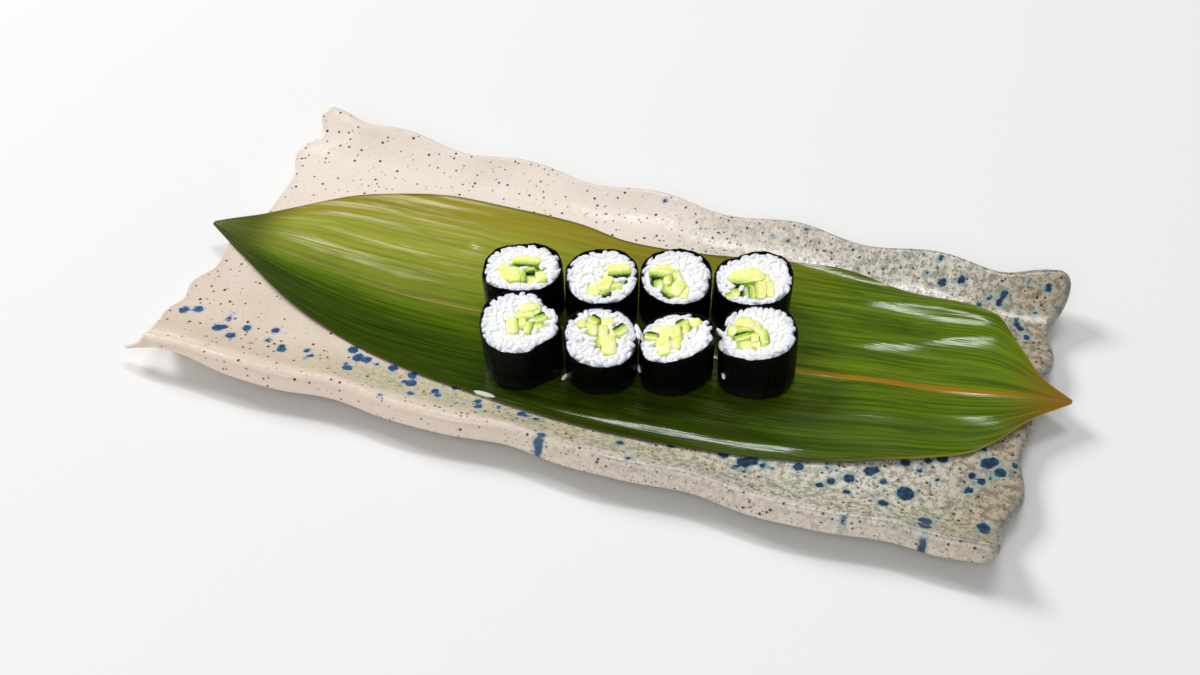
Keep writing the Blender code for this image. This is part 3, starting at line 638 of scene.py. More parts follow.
faces.append(np.stack([border, turn, turn + rows * columns, border + rows * columns], -1))
uv = np.stack([np.tile((lx2 / 100.0).ravel(), 2), np.tile(np.broadcast_to(across[:, None], ly.shape).ravel(), 2)], -1)
vein = 0.45 * np.broadcast_to(across[:, None], ly.shape) + 0.55 * off_rib / 48.0
leaf = make_piece("leaf_blade", points, np.concatenate(faces), {"vein": np.tile(vein.ravel(), 2)},
                  uv=uv, weld=0.0, sharp=70.0)
print("leaf:", rows, "by", columns, "points, highest", round(float(blade_top[..., 2].max()), 1), "mm")

# %% [markdown]
# The blade is dark green, painted darker still in front as shade, olive and yellow along its
# rear margin towards the tip, and its midrib turns from pale yellow to orange at the stalk. Pale
# streaks at its rear left are partly painted sheen. The veins are only shades and a fine relief
# that run along the blade, so they are drawn in the leaf's own UV map, where one direction
# follows the blade and the other goes from margin to margin.

# %% The waxy green
leaf_green, tree, shader = new_finish("waxy_leaf", IOR=1.40, Specular_Tint=(0.75, 0.90, 0.45, 1.0), Coat_Roughness=0.13)
uv_at = put(tree, "ShaderNodeUVMap", 0, uv_map="cut")
along_u, across_v, _ = axes_of(tree, uv_at)
vein = put(tree, "ShaderNodeAttribute", 2, attribute_name="vein")
vein_at = put(tree, "ShaderNodeCombineXYZ", 0, {0: along_u, 1: vein})
spot = in_millimetres(tree)
x, y, z = axes_of(tree, spot)
broad = noise(tree, stretched(tree, vein_at, (0.7, 5.0, 1.0)), 1.0, 3.0)
streak = noise(tree, stretched(tree, vein_at, (1.6, 26.0, 1.0)), 1.0, 3.0, 0.6)
hair = noise(tree, stretched(tree, vein_at, (3.0, 95.0, 1.0)), 1.0, 2.0, 0.6)
patch = noise(tree, stretched(tree, vein_at, (3.2, 7.0, 1.0)), 1.0, 4.0, 0.6)
colour = blend(tree, span(tree, streak, 0.3, 0.7), (0.046, 0.100, 0.0010), (0.150, 0.225, 0.0020))
colour = blend(tree, span(tree, broad, 0.45, 0.75, 0.0, 0.6), colour, (0.022, 0.066, 0.0010))
colour = blend(tree, span(tree, patch, 0.52, 0.68, 0.0, 0.45), colour, (0.014, 0.044, 0.001))
colour = blend(tree, span(tree, patch, 0.46, 0.32, 0.0, 0.35), colour, (0.110, 0.215, 0.004))
warm = calc(tree, "MULTIPLY", span(tree, across_v, -0.25, 0.6), span(tree, x, 60.0, -60.0))
warm = calc(tree, "MULTIPLY", warm, span(tree, broad, 0.2, 0.75, 0.55, 1.0))
colour = blend(tree, warm, colour, blend(tree, streak, (0.23, 0.27, 0.014), (0.50, 0.48, 0.06)))
rear_rim = calc(tree, "MULTIPLY", span(tree, across_v, 0.62, 0.92), span(tree, x, 90.0, 20.0, 0.0, 0.5))
colour = blend(tree, rear_rim, colour, (0.31, 0.20, 0.010))
# Painted shade: the front half of the blade turns darker, more so away from the stalk.
front_shade = calc(tree, "MULTIPLY", span(tree, across_v, 0.0, -0.55), span(tree, x, 130.0, 40.0, 0.25, 0.85))
colour = blend(tree, front_shade, colour, blend(tree, streak, (0.004, 0.014, 0.0005), (0.030, 0.056, 0.0010)))
tip = span(tree, x, -132.0, -153.0, 0.0, 0.85)
colour = blend(tree, tip, colour, (0.045, 0.065, 0.004))
colour = blend(tree, span(tree, hair, 0.56, 0.8, 0.0, 0.32), colour, (0.36, 0.38, 0.06))
# Painted sheen: pale streaks on the rear left of the blade, partly the leaf's own pale bloom.
sheen = noise(tree, stretched(tree, vein_at, (1.3, 12.0, 1.0)), 1.0, 4.0, 0.7)
sheen_and_bloom = calc(tree, "MULTIPLY", span(tree, sheen, 0.46, 0.74),
             calc(tree, "MULTIPLY", span(tree, x, -45.0, -85.0), span(tree, across_v, -0.05, 0.3)))
sheen_and_bloom = calc(tree, "MULTIPLY", sheen_and_bloom, span(tree, x, -150.0, -125.0))
colour = blend(tree, calc(tree, "MULTIPLY", sheen_and_bloom, 0.85), colour, (0.78, 0.72, 0.40))
rib_half = span(tree, x, 40.0, 150.0, 0.012, 0.060, smooth=False)
rib = span(tree, calc(tree, "DIVIDE", calc(tree, "ABSOLUTE", across_v), rib_half), 1.0, 0.6)
rib_tone = blend(tree, span(tree, x, 40.0, 100.0), (0.36, 0.24, 0.03), (0.33, 0.165, 0.004))
seen = span(tree, noise(tree, stretched(tree, vein_at, (4.0, 1.0, 1.0)), 1.0), 0.3, 0.55, 0.5, 1.0)
rib_seen = calc(tree, "MULTIPLY", calc(tree, "MULTIPLY", rib, seen), span(tree, x, -110.0, -70.0, 0.0, 1.0))
colour = blend(tree, rib_seen, colour, rib_tone)
stalk = span(tree, x, 140.0, 170.0)
colour = blend(tree, stalk, colour, (0.28, 0.12, 0.008))
margin = span(tree, calc(tree, "ABSOLUTE", across_v), 0.965, 1.0)
margin_tint = blend(tree, span(tree, x, 80.0, 140.0), (0.06, 0.06, 0.008), (0.40, 0.28, 0.03))
colour = blend(tree, calc(tree, "MULTIPLY", margin, 0.7), colour, margin_tint)
chip_x = calc(tree, "MULTIPLY", calc(tree, "ADD", x, 29.0), 0.28)
chip_y = calc(tree, "ADD", calc(tree, "ADD", y, 53.2), calc(tree, "MULTIPLY", chip_x, 0.15))
chip = calc(tree, "ADD", calc(tree, "MULTIPLY", chip_x, chip_x), calc(tree, "MULTIPLY", chip_y, chip_y))
colour = blend(tree, span(tree, chip, 1.6, 0.9), colour, (0.72, 0.78, 0.66))
gloss = span(tree, streak, 0.3, 0.7, 0.20, 0.34)
shine = calc(tree, "MULTIPLY", span(tree, across_v, 0.10, -0.35), span(tree, x, 20.0, -60.0))
wax = span(tree, shine, 0.0, 1.0, 0.95, 0.25)
shine = span(tree, shine, 0.0, 1.0, 0.22, 0.12)
relief = bump(tree, hair, 0.40, 0.25)
relief = bump(tree, streak, 0.35, 0.5, relief)
waxy = bump(tree, hair, 0.14, 0.14, bump(tree, streak, 0.22, 0.5))
feed(tree, shader, Base_Color=colour, Roughness=gloss, Specular_IOR_Level=shine,
     Coat_Weight=wax, Coat_Normal=waxy, Normal=relief)
dress(leaf, leaf_green, ["leaf"])

# %% [markdown]
# ## The rolls
# Each roll is a slice of a long one: nori outside, rice inside it, cut cucumber through the
# middle. The slices were pressed together, so none is a true circle, and the knife went through
# a little askew. One set of numbers per roll gives its outline, its place in its row and the
# slope of its cut face. Everything that belongs to a roll is worked out in the roll's own
# directions, along and across the row, and only then placed on the plate.

# %% Outlines and cut faces
ROW_TURN, ROLL_FOOT, SQUARISH = 19.85, 10.6, 2.25
ROLLS = (
    ((-32.4, 7.0), (14.4, 13.4), 29.5, (1.7, -0.6), (0.7, 0.0)),
    ((-3.7, 2.2), (13.4, 13.9), 29.1, (3.0, 5.0), (0.0, 1.6)),
    ((23.2, 1.8), (13.1, 13.8), 29.2, (0.5, 6.3), (0.0, 1.6)),
    ((51.3, 0.4), (14.2, 13.6), 29.7, (2.9, 4.2), (-0.4, 1.0)),
    ((-32.6, -22.0), (14.2, 14.4), 29.3, (1.0, 7.5), (1.4, -1.4)),
    ((-4.3, -29.6), (13.0, 13.9), 29.2, (-3.4, 7.5), (0.5, 3.6)),
    ((22.5, -29.7), (13.1, 13.2), 29.3, (11.0, -3.4), (0.2, 2.0)),
    ((50.7, -27.3), (13.9, 13.3), 29.3, (4.8, 3.4), (0.4, -1.4)),
)
BULGES = (
    ((212, 1.1, 24), (300, 0.4, 25)), ((60, 0.3, 24), (215, -0.4, 25)),
    ((45, 0.6, 26), (235, -0.9, 26)), ((40, 0.9, 26), (120, -1.3, 20)),
    ((42, -2.7, 20), (305, -2.1, 22)), ((60, 0.4, 26), (195, -0.3, 22)),
    ((222, 1.2, 20), (305, -1.6, 28)), ((160, -1.2, 22), (212, 0.9, 18)),
)
BUNDLES = (
    ((-0.1, -2.2), 9.3, 7.2, -5), ((2.0, -2.3), 9.0, 6.0, 45), ((-3.1, -1.9), 7.8, 6.2, -62),
    ((-1.3, -2.8), 9.0, 7.0, 14), ((3.8, 1.3), 8.6, 6.6, 22), ((-0.1, 1.8), 9.2, 7.6, -56),
    ((-1.4, 0.0), 10.0, 7.2, 42), ((-3.4, 0.0), 8.2, 6.7, -66),
)
VISIBLE_FOOT = 10.1         # the sheet of leaf is thinner here than in its solid


def rim_radius(index, angle):
    """Outline of a roll about its centre; angle in degrees."""
    half_a, half_b = ROLLS[index][1]
    c, s = np.abs(np.cos(np.radians(angle))), np.abs(np.sin(np.radians(angle)))
    r = ((c / half_a) ** SQUARISH + (s / half_b) ** SQUARISH) ** (-1.0 / SQUARISH)
    for way, height, width in BULGES[index]:
        off = (angle - way + 180.0) % 360.0 - 180.0
        r = r + height * np.exp(-(off / width) ** 2)
    return r


def cut_height(index, a, b):
    _, _, height, (slope_a, slope_b), _ = ROLLS[index]
    return height + math.tan(math.radians(slope_a)) * a + math.tan(math.radians(slope_b)) * b


def stand(index, a, b, z):
    """From the roll's own directions to the plate's, leaning from foot to top."""
    centre, _, height, _, foot_off = ROLLS[index]
    t = 1.0 - (z - ROLL_FOOT) / (height - ROLL_FOOT)
    a = a + centre[0] + foot_off[0] * t
    b = b + centre[1] + foot_off[1] * t
    c, s = math.cos(math.radians(ROW_TURN)), math.sin(math.radians(ROW_TURN))
    return np.stack([a * c - b * s, a * s + b * c - MIDDLE, z + 0.0 * a], -1)


def bundle_outline(index, count):
    (off_a, off_b), half_long, half_short, turn = BUNDLES[index]
    angle = np.arange(count) * 360.0 / count
    local = np.radians(angle - turn)
    uneven = 1.0 + 0.07 * np.cos(3.0 * local + index) + 0.05 * np.cos(5.0 * local - 2.0 * index)
    r = uneven / np.hypot(np.cos(local) / half_long, np.sin(local) / half_short)
    a, b = off_a + r * np.cos(np.radians(angle)), off_b + r * np.sin(np.radians(angle))
    away = np.hypot(a, b)
    room = rim_radius(index, np.degrees(np.arctan2(b, a))) - 2.4
    shrink = np.minimum(1.0, room / away)
    return a * shrink, b * shrink


for index in range(len(ROLLS)):
    low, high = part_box(f"nori_{index + 1}")
    print(f"roll {index + 1}: {(high[0] - low[0]) / MM:.1f} by {(high[1] - low[1]) / MM:.1f} mm")

# %% [markdown]
# Nori is a paper-thin sheet of dried seaweed. Around moist rice it turns dark and glossy,
# shrinks into fine wrinkles, and shows a step where its end laps over. A bent cylinder would
# look like pipe, so the sheet is a thin double wall whose radius is shaken by several waves
# that never repeat, with the lap as a small step.

# %% The nori sheets
NORI_AROUND, NORI_UP, NORI_SKIN = 168, 16, 0.45
LAP_AT = (150.0, 95.0, 80.0, 60.0, 330.0, 200.0, 340.0, 185.0)
DIPS = ((95, 20, 0.3), (80, 20, 0.2), (110, 25, 0.3), (100, 20, 0.3),   # where, how wide, how deep
        (25, 26, 1.0), (12, 20, 1.1), (176, 22, 1.1), (176, 34, 1.6))
nori_points, nori_faces, nori_uv = [], [], []
start = 0
angle = np.arange(NORI_AROUND) * 360.0 / NORI_AROUND
for index in range(len(ROLLS)):
    draw = np.random.default_rng(40 + index)
    phase = draw.uniform(0.0, 2.0 * math.pi, 12)
    base = rim_radius(index, angle)
    lap = (angle - LAP_AT[index]) % 360.0
    base = base + 0.16 * (lap < 32.0) * smooth((32.0 - lap) / 30.0 + 0.3)
    rad = np.radians(angle)
    ragged = 0.14 * np.sin(7 * rad + phase[0]) + 0.10 * np.sin(17 * rad + phase[1]) + 0.07 * np.sin(41 * rad + phase[2])
    rim_a, rim_b = base * np.cos(rad), base * np.sin(rad)
    where, wide, deep = DIPS[index]
    dip = deep * np.exp(-(((angle - where + 180.0) % 360.0 - 180.0) / wide) ** 2)
    top_at = cut_height(index, rim_a, rim_b) - 0.10 + ragged - dip
    sheets = []
    for side, inset in (("out", 0.0), ("in", NORI_SKIN)):
        for k in range(NORI_UP + 1):
            t = k / NORI_UP
            level = VISIBLE_FOOT + (top_at - VISIBLE_FOOT) * t
            crease = (0.10 * np.sin(5 * rad + 2.1 * t + phase[3]) + 0.08 * np.sin(11 * rad - 3.0 * t + phase[4])
                      + 0.06 * np.sin(23 * rad + 5.0 * t + phase[5]) * np.sin(6.0 * t + phase[6])
                      + 0.04 * np.sin(9.0 * t + 3 * rad + phase[7]))
            tuck = 0.55 * smooth((0.10 - t) / 0.10) + 0.10 * smooth((t - 0.90) / 0.10)
            r = base + crease - tuck - inset
            sheets.append(stand(index, r * np.cos(rad), r * np.sin(rad), level))
            nori_uv.append(np.stack([rad * 14.0, level], -1))
    n = NORI_UP + 1
    block = np.stack(sheets[:n] + sheets[:n - 1:-1] + [sheets[0]])
    nori_uv = nori_uv[:-2 * n] + nori_uv[-2 * n:-n] + nori_uv[:-n - 1:-1] + [nori_uv[-2 * n]]
    nori_points.append(block.reshape(-1, 3))
    nori_faces.append(grid_faces(block.shape[0], NORI_AROUND, start, wrap=True))
    start += block.shape[0] * NORI_AROUND
sheet_uv = np.concatenate(nori_uv)
print("nori points:", sum(map(len, nori_points)))

# %% Nori, its finish and its pieces
seaweed, tree, shader = new_finish("roasted_nori", IOR=1.4)
spot = in_millimetres(tree)
x, y, z = axes_of(tree, spot)
weave = noise(tree, spot, 1.3, 5.0, 0.7)
cloud = noise(tree, spot, 0.25, 3.0)
colour = blend(tree, span(tree, weave, 0.4, 0.7), (0.0012, 0.0014, 0.0012), (0.0055, 0.0050, 0.0035))
fleck = use(tree, speckle, Vector=spot, Spacing=1.5, Radius=0.42, Kept=0.35, Softness=0.6)
fleck = calc(tree, "MULTIPLY", fleck, span(tree, cloud, 0.5, 0.7))
high = span(tree, z, 16.0, 27.0, 0.15, 1.0)
colour = blend(tree, calc(tree, "MULTIPLY", fleck, high), colour, (0.090, 0.034, 0.012))
gloss = span(tree, weave, 0.35, 0.7, 0.18, 0.42)
damp = span(tree, z, 16.0, 11.5, 0.10, 0.55)
relief = bump(tree, weave, 0.55, 0.35)
relief = bump(tree, noise(tree, stretched(tree, spot, (1.0, 1.0, 0.35)), 0.7, 3.0), 0.5, 0.8, relief)
feed(tree, shader, Base_Color=colour, Roughness=gloss, Specular_IOR_Level=damp, Normal=relief)
size = len(nori_points[0])
for index, block in enumerate(nori_points):
    piece = make_piece(f"nori_sheet_{index + 1}", block, nori_faces[index] - index * size,
                       uv=sheet_uv[index * size:(index + 1) * size], sharp=60.0)
    dress(piece, seaweed, [f"nori_{index + 1}"])

# %% [markdown]
# Under the grains lies a core of rice, a little lower and narrower than the roll, because only
# the outer grains can ever be seen. It has the same finish as the grains, so that a gap between
# two grains shows more rice and never a hole.

# %% Rice: the finish and the cores
# The rice glows faintly bluish white: painted light that lifts it towards white.
rice_white, tree, shader = new_finish("moist_rice", IOR=1.42, Subsurface_Weight=0.2, Subsurface_Scale=0.0008,
                                       Subsurface_Radius=(1.0, 1.0, 1.0), Emission_Strength=0.05,
                                       Emission_Color=(0.92, 0.96, 1.0, 1.0))
spot = in_millimetres(tree)
tone_and_shade = put(tree, "ShaderNodeAttribute", 2, attribute_name="tone_and_shade")
soft = noise(tree, spot, 0.9, 3.0)
# Painted shade: the attribute turns rice bluish grey towards the nori and on the core's walls; a small part of it is
# random tone per grain.
colour = blend(tree, tone_and_shade, (1.0, 0.99, 0.975), (0.64, 0.70, 0.83))
colour = blend(tree, span(tree, soft, 0.40, 0.75, 0.0, 0.30), colour, (1.0, 0.97, 0.90))
gloss = span(tree, soft, 0.3, 0.7, 0.24, 0.42)
relief = bump(tree, noise(tree, spot, 2.2, 3.0), 0.22, 0.25)
feed(tree, shader, Base_Color=colour, Roughness=gloss, Normal=relief)

AROUND = 72
CORE_DROP = 0.42
for index in range(len(ROLLS)):
    angle = np.arange(AROUND) * 360.0 / AROUND
    r = rim_radius(index, angle) - 1.35
    a, b = r * np.cos(np.radians(angle)), r * np.sin(np.radians(angle))
    c, d = bundle_outline(index, AROUND)
    loops = []
    for (p, q), drop in (((a, b), None), ((a, b), 1.1), ((0.94 * a, 0.94 * b), 0.35),
                         ((0.5 * (a + c), 0.5 * (b + d)), 0.0), ((c * 1.02, d * 1.02), 0.15), ((c, d), 1.2),
                         ((c.mean() + 0.01 * c, d.mean() + 0.01 * d), 1.2), ((c.mean() + 0.01 * c, d.mean() + 0.01 * d), None)):
        z = np.full(AROUND, VISIBLE_FOOT) if drop is None else cut_height(index, p, q) - CORE_DROP - drop
        loops.append(stand(index, p, q, z))
    loops.append(loops[0])
    # Painted shade: the core's outer wall and rim get a bluish grey, its top under the grains much less.
    piece = make_piece(f"rice_core_{index + 1}", np.concatenate(loops), grid_faces(len(loops), AROUND, wrap=True),
                       {"tone_and_shade": np.repeat((0.8, 0.8, 0.65, 0.1, 0.1, 0.2, 0.2, 0.2, 0.8), AROUND)})
    dress(piece, rice_white, [f"rice_{index + 1}"])

# %% [markdown]
# The grains themselves are what makes rice look like rice, and there are hundreds, so Geometry
# Nodes scatter them. The tree takes a patch, spreads points on it no closer than a given
# distance, puts a grain on each and turns it at random, mostly lying flat. The grain is a small
# sphere stretched and bent in the tree, with only a few dozen faces. The result is turned into
# plain mesh, and then every point that stands above the knife's cut or beyond the nori is
# pressed back, the way the knife and the sheet press real grains.

# %% The tree that scatters grains
SEGMENTS, RINGS = 8, 6
GRAIN_POINTS = SEGMENTS * (RINGS - 1) + 2


def scatter_tree():
    tree = bpy.data.node_groups.new("grain_scatter", "GeometryNodeTree")
    tree.interface.new_socket("Geometry", in_out="INPUT", socket_type="NodeSocketGeometry")
    for key, value in (("Least Distance", 0.002), ("Grain Length", 0.005), ("Grain Width", 0.0024), ("Bend", 0.12),
                       ("Tilt", 0.35)):
        socket = tree.interface.new_socket(key, in_out="INPUT", socket_type="NodeSocketFloat")
        socket.default_value = value
    tree.interface.new_socket("Seed", in_out="INPUT", socket_type="NodeSocketInt")
    tree.interface.new_socket("Finish", in_out="INPUT", socket_type="NodeSocketMaterial")
    tree.interface.new_socket("Geometry", in_out="OUTPUT", socket_type="NodeSocketGeometry")
    given = tree.nodes.new("NodeGroupInput").outputs
    gives = tree.nodes.new("NodeGroupOutput").inputs

    ball = put(tree, "GeometryNodeMeshUVSphere", 0, {"Segments": SEGMENTS, "Rings": RINGS, "Radius": 0.5})
    place = tree.nodes.new("GeometryNodeInputPosition").outputs[0]
    px, py, pz = axes_of(tree, place)
    length = calc(tree, "MULTIPLY", pz, given["Grain Length"])
    width = calc(tree, "MULTIPLY", px, given["Grain Width"])
    thick = calc(tree, "MULTIPLY", py, calc(tree, "MULTIPLY", given["Grain Width"], 0.85))
    bow = calc(tree, "MULTIPLY", calc(tree, "MULTIPLY", calc(tree, "MULTIPLY", pz, pz), given["Bend"]),
               calc(tree, "MULTIPLY", given["Grain Length"], 4.0))
    shape = put(tree, "ShaderNodeCombineXYZ", 0, {0: length, 1: calc(tree, "ADD", width, bow), 2: thick})
    grain = put(tree, "GeometryNodeSetPosition", 0, {"Geometry": ball, "Position": shape})
    grain = put(tree, "GeometryNodeSetShadeSmooth", 0, {"Geometry": grain})

    spread = tree.nodes.new("GeometryNodeDistributePointsOnFaces")
    spread.distribute_method = "POISSON"
    spread.inputs["Density Max"].default_value = 4.0e5
    tree.links.new(given["Geometry"], spread.inputs["Mesh"])
    tree.links.new(given["Least Distance"], spread.inputs["Distance Min"])
    tree.links.new(given["Seed"], spread.inputs["Seed"])

    def chance(low, high, offset, kind="FLOAT"):
        node = tree.nodes.new("FunctionNodeRandomValue")
        node.data_type = kind
        names = ("Min", "Max")
        sockets = [s for s in node.inputs if s.name in names and s.enabled]
        sockets[0].default_value, sockets[1].default_value = low, high
        seed = put(tree, "ShaderNodeMath", 0, {0: given["Seed"], 1: float(offset)}, operation="ADD")
        tree.links.new(seed, next(s for s in node.inputs if s.name == "Seed"))
        return next(s for s in node.outputs if s.enabled)

    lean = put(tree, "ShaderNodeCombineXYZ", 0,
               {0: calc(tree, "MULTIPLY", chance(-2.0, 2.0, 11), 1.0),
                1: calc(tree, "MULTIPLY", chance(-1.0, 1.0, 23), given["Tilt"]),
                2: chance(0.0, 2.0 * math.pi, 37)})
    copies = put(tree, "GeometryNodeInstanceOnPoints", 0,
                 {"Points": spread.outputs["Points"], "Instance": grain, "Rotation": lean,
                  "Scale": chance((0.82, 0.82, 0.82), (1.12, 1.1, 1.1), 51, "FLOAT_VECTOR")})
    store = tree.nodes.new("GeometryNodeStoreNamedAttribute")
    store.data_type, store.domain = "FLOAT", "INSTANCE"
    store.inputs["Name"].default_value = "tone_and_shade"
    tree.links.new(copies, store.inputs["Geometry"])
    tree.links.new(chance(0.0, 1.0, 77), next(s for s in store.inputs if s.name == "Value" and s.enabled))
    real = put(tree, "GeometryNodeRealizeInstances", 0, {"Geometry": store.outputs[0]})
    final = put(tree, "GeometryNodeSetMaterial", 0, {"Geometry": real, "Material": given["Finish"]})
    tree.links.new(final, gives["Geometry"])
    return tree


def run_tree(tree, patch_points, patch_faces, values):
    """Runs a tree on a patch and gives back the plain points, faces and random value of each grain of the result."""
    patch = make_piece("patch", patch_points, patch_faces, weld=0.0)
    modifier = patch.modifiers.new("scatter", "NODES")
    modifier.node_group = tree
    for item in tree.interface.items_tree:
        if item.in_out == "INPUT" and item.name in values:
            modifier[item.identifier] = values[item.name]
    bpy.context.view_layer.update()
    depsgraph = bpy.context.evaluated_depsgraph_get()
    mesh = bpy.data.meshes.new_from_object(patch.evaluated_get(depsgraph), depsgraph=depsgraph)
    spots = np.empty(len(mesh.vertices) * 3, np.float32)
    mesh.vertices.foreach_get("co", spots)
    tone_and_shade = np.empty(len(mesh.vertices), np.float32)
    mesh.attributes["tone_and_shade"].data.foreach_get("value", tone_and_shade)
    quads = [tuple(p.vertices) for p in mesh.polygons]
    bpy.data.objects.remove(patch, do_unlink=True)
    bpy.data.meshes.remove(mesh)
    return spots.reshape(-1, 3).astype(float) / MM, quads, tone_and_shade


grain_scatter = scatter_tree()
print("tree:", grain_scatter.name, "with", len(grain_scatter.nodes), "nodes")

# %% [markdown]
# ## The cucumber
# The filling is cucumber cut into sticks, and no two are alike: the knife took some from the
# pale watery heart and some from the outside, which keep green flesh and a strip of dark skin.
# A rule that shares the bundle out evenly makes a honeycomb, which looks false. So each stick
# has a line of its own: where it stands, how big and how turned it is, how far it stands proud
# of the cut, which of its sides faced the skin and how deep under the skin that side was.

# %% The sticks of each roll
STICKS = (
    ((1.2, 3.0, 5.2, 2.5, -4, 0.7, 265, 0.9), (-6.4, -2.4, 2.2, 4.0, 12, 0.1, 180, 2.6),
     (-3.0, -4.3, 2.1, 4.3, 2, 0.4, 280, 1.8), (0.1, -4.4, 1.1, 3.4, 6, -0.1, 0, 0.9),
     (2.5, -1.5, 1.8, 1.7, 5, -0.5, 280, 0.25), (6.3, -1.6, 1.5, 1.0, 0, -0.6, 90, 0.0),
     (6.9, -6.2, 1.9, 3.1, 12, 0.3, 300, 1.0), (3.3, -7.2, 1.5, 1.6, 0, -0.7, 180, 2.4),
     (4.4, -4.5, 1.9, 1.2, 20, -1.4, 90, 0.0)),
    ((6.2, 2.2, 4.3, 2.9, 4, 0.7, 272, 0.0), (1.4, -3.9, 1.9, 3.9, -22, 0.3, 280, 1.7),
     (-1.5, -5.8, 1.4, 3.6, -14, 0.0, 200, 2.6), (-3.8, -6.6, 1.2, 2.8, -6, -0.3, 180, 3.4),
     (1.4, -8.3, 1.8, 1.6, 35, 0.1, 300, 0.0), (4.8, -3.7, 2.1, 1.6, 10, -0.4, 90, 1.2),
     (8.6, -2.4, 0.7, 1.3, 8, -0.7, 0, 0.0), (6.3, -5.6, 1.2, 1.2, 20, -0.6, 300, 1.6),
     (2.6, 0.4, 1.7, 2.0, 30, 0.1, 90, 3.6)),
    ((-5.3, 2.6, 4.4, 2.6, 28, 0.6, 258, 0.0), (-2.9, -1.2, 1.6, 2.5, -8, 0.1, 0, 1.2),
     (-6.6, -3.0, 1.5, 2.3, -6, -0.5, 180, 1.1), (0.4, -5.6, 2.2, 3.7, -24, 0.5, 60, 2.6),
     (-2.9, -7.5, 2.3, 2.1, 32, 0.2, 225, 0.0), (2.9, -7.4, 1.3, 3.2, -14, 0.0, 0, 3.2),
     (-4.3, -4.9, 1.1, 1.5, 10, -0.5, 180, 1.0), (-8.7, -2.4, 0.6, 1.4, 0, -0.9, 180, 0.0),
     (-0.2, 1.6, 1.6, 2.3, 18, 0.0, 0, 3.8)),
    ((-2.6, 0.9, 5.9, 3.5, 14, 0.8, 262, 0.5), (2.1, -6.0, 2.1, 4.0, -4, 0.4, 180, 1.7),
     (-1.2, -6.6, 1.1, 3.2, 2, 0.0, 180, 0.9), (5.6, -5.4, 1.4, 4.1, -4, 0.0, 0, 3.0),
     (-4.4, -7.2, 0.8, 2.1, 4, -0.3, 180, 0.0), (-7.1, -6.4, 1.7, 1.9, 10, -0.4, 90, 0.9),
     (-9.3, -8.2, 1.5, 1.4, 30, 0.0, 120, 1.1), (-9.6, -4.6, 0.8, 1.2, 10, -0.6, 180, 0.0),
     (4.2, -0.6, 1.5, 1.6, 20, 0.1, 0, 2.8)),
    ((2.9, 6.2, 3.1, 1.9, 18, 0.4, 90, 2.4), (0.2, 3.3, 1.7, 1.7, 10, 0.0, 180, 2.2),
     (3.4, 2.8, 2.0, 1.5, 14, 0.3, 270, 1.9), (-2.4, -1.6, 2.0, 3.7, 8, 0.3, 0, 1.7),
     (0.8, -0.7, 1.3, 2.5, -6, 0.0, 270, 1.6), (3.2, -2.4, 1.3, 2.7, -18, 0.2, 0, 1.1),
     (7.2, 1.7, 2.2, 1.8, 24, 0.5, 100, 0.0), (6.1, 5.1, 1.1, 2.6, -8, -0.1, 0, 2.2),
     (6.3, -1.6, 1.7, 1.3, 10, -0.2, 90, 1.6),),
    ((-2.0, 7.7, 2.0, 2.0, -38, 0.4, 55, 0.0), (-2.7, 3.4, 1.9, 2.7, 4, 0.2, 200, 1.9),
     (1.1, 2.8, 1.7, 2.6, -4, 0.0, 180, 2.8), (2.6, 7.0, 2.3, 1.9, 12, -0.1, 90, 2.6),
     (2.9, -3.6, 2.6, 4.3, 6, 0.6, 250, 2.2), (7.1, 3.6, 2.5, 2.1, 36, 0.4, 126, 0.0),
     (-6.6, 5.9, 1.6, 1.6, 0, -0.3, 180, 2.4), (-0.5, -1.7, 1.0, 2.5, -10, -0.1, 180, 1.2),
     (4.7, 2.2, 1.3, 1.9, 10, -0.1, 0, 2.0)),
    ((-9.0, 2.3, 2.3, 1.9, -20, 0.4, 72, 0.0), (-3.7, 3.6, 2.6, 2.7, 8, 0.1, 90, 2.8),
     (-5.3, -1.3, 2.4, 2.4, 6, 0.3, 180, 2.3), (-4.6, -5.9, 2.1, 3.1, -12, 0.5, 270, 2.0),
     (-0.4, 2.7, 1.8, 3.2, 4, 0.2, 0, 2.4), (0.0, -2.6, 1.5, 3.1, -6, 0.0, 0, 1.8),
     (1.8, 7.2, 1.9, 1.7, 32, 0.4, 128, 0.0), (6.7, 6.7, 2.0, 2.2, 14, 0.0, 0, 1.9),
     (3.3, 4.0, 1.3, 2.3, -4, 0.1, 0, 1.6), (-6.7, 6.4, 1.6, 1.3, 10, -0.3, 90, 3.0)),
    ((-3.9, 4.7, 3.4, 2.1, -20, 0.4, 90, 2.5), (0.1, 2.2, 1.6, 2.9, 22, 0.2, 0, 1.4),
     (-4.4, 1.5, 3.0, 1.2, 10, 0.1, 270, 1.3), (-5.4, -1.6, 2.9, 1.7, 16, 0.6, 108, 0.0),
     (2.2, -2.4, 1.6, 3.3, 10, 0.5, 0, 1.1), (-4.8, -5.4, 2.6, 1.6, 4, -0.2, 180, 1.5),
     (-1.1, -2.4, 1.4, 2.0, 0, 0.2, 90, 2.4), (-8.7, 1.6, 1.4, 2.2, -8, -0.4, 180, 2.8),
     (-0.8, -5.3, 1.3, 1.5, 0, -0.4, 270, 3.0)),
)
STICK_AROUND = 32


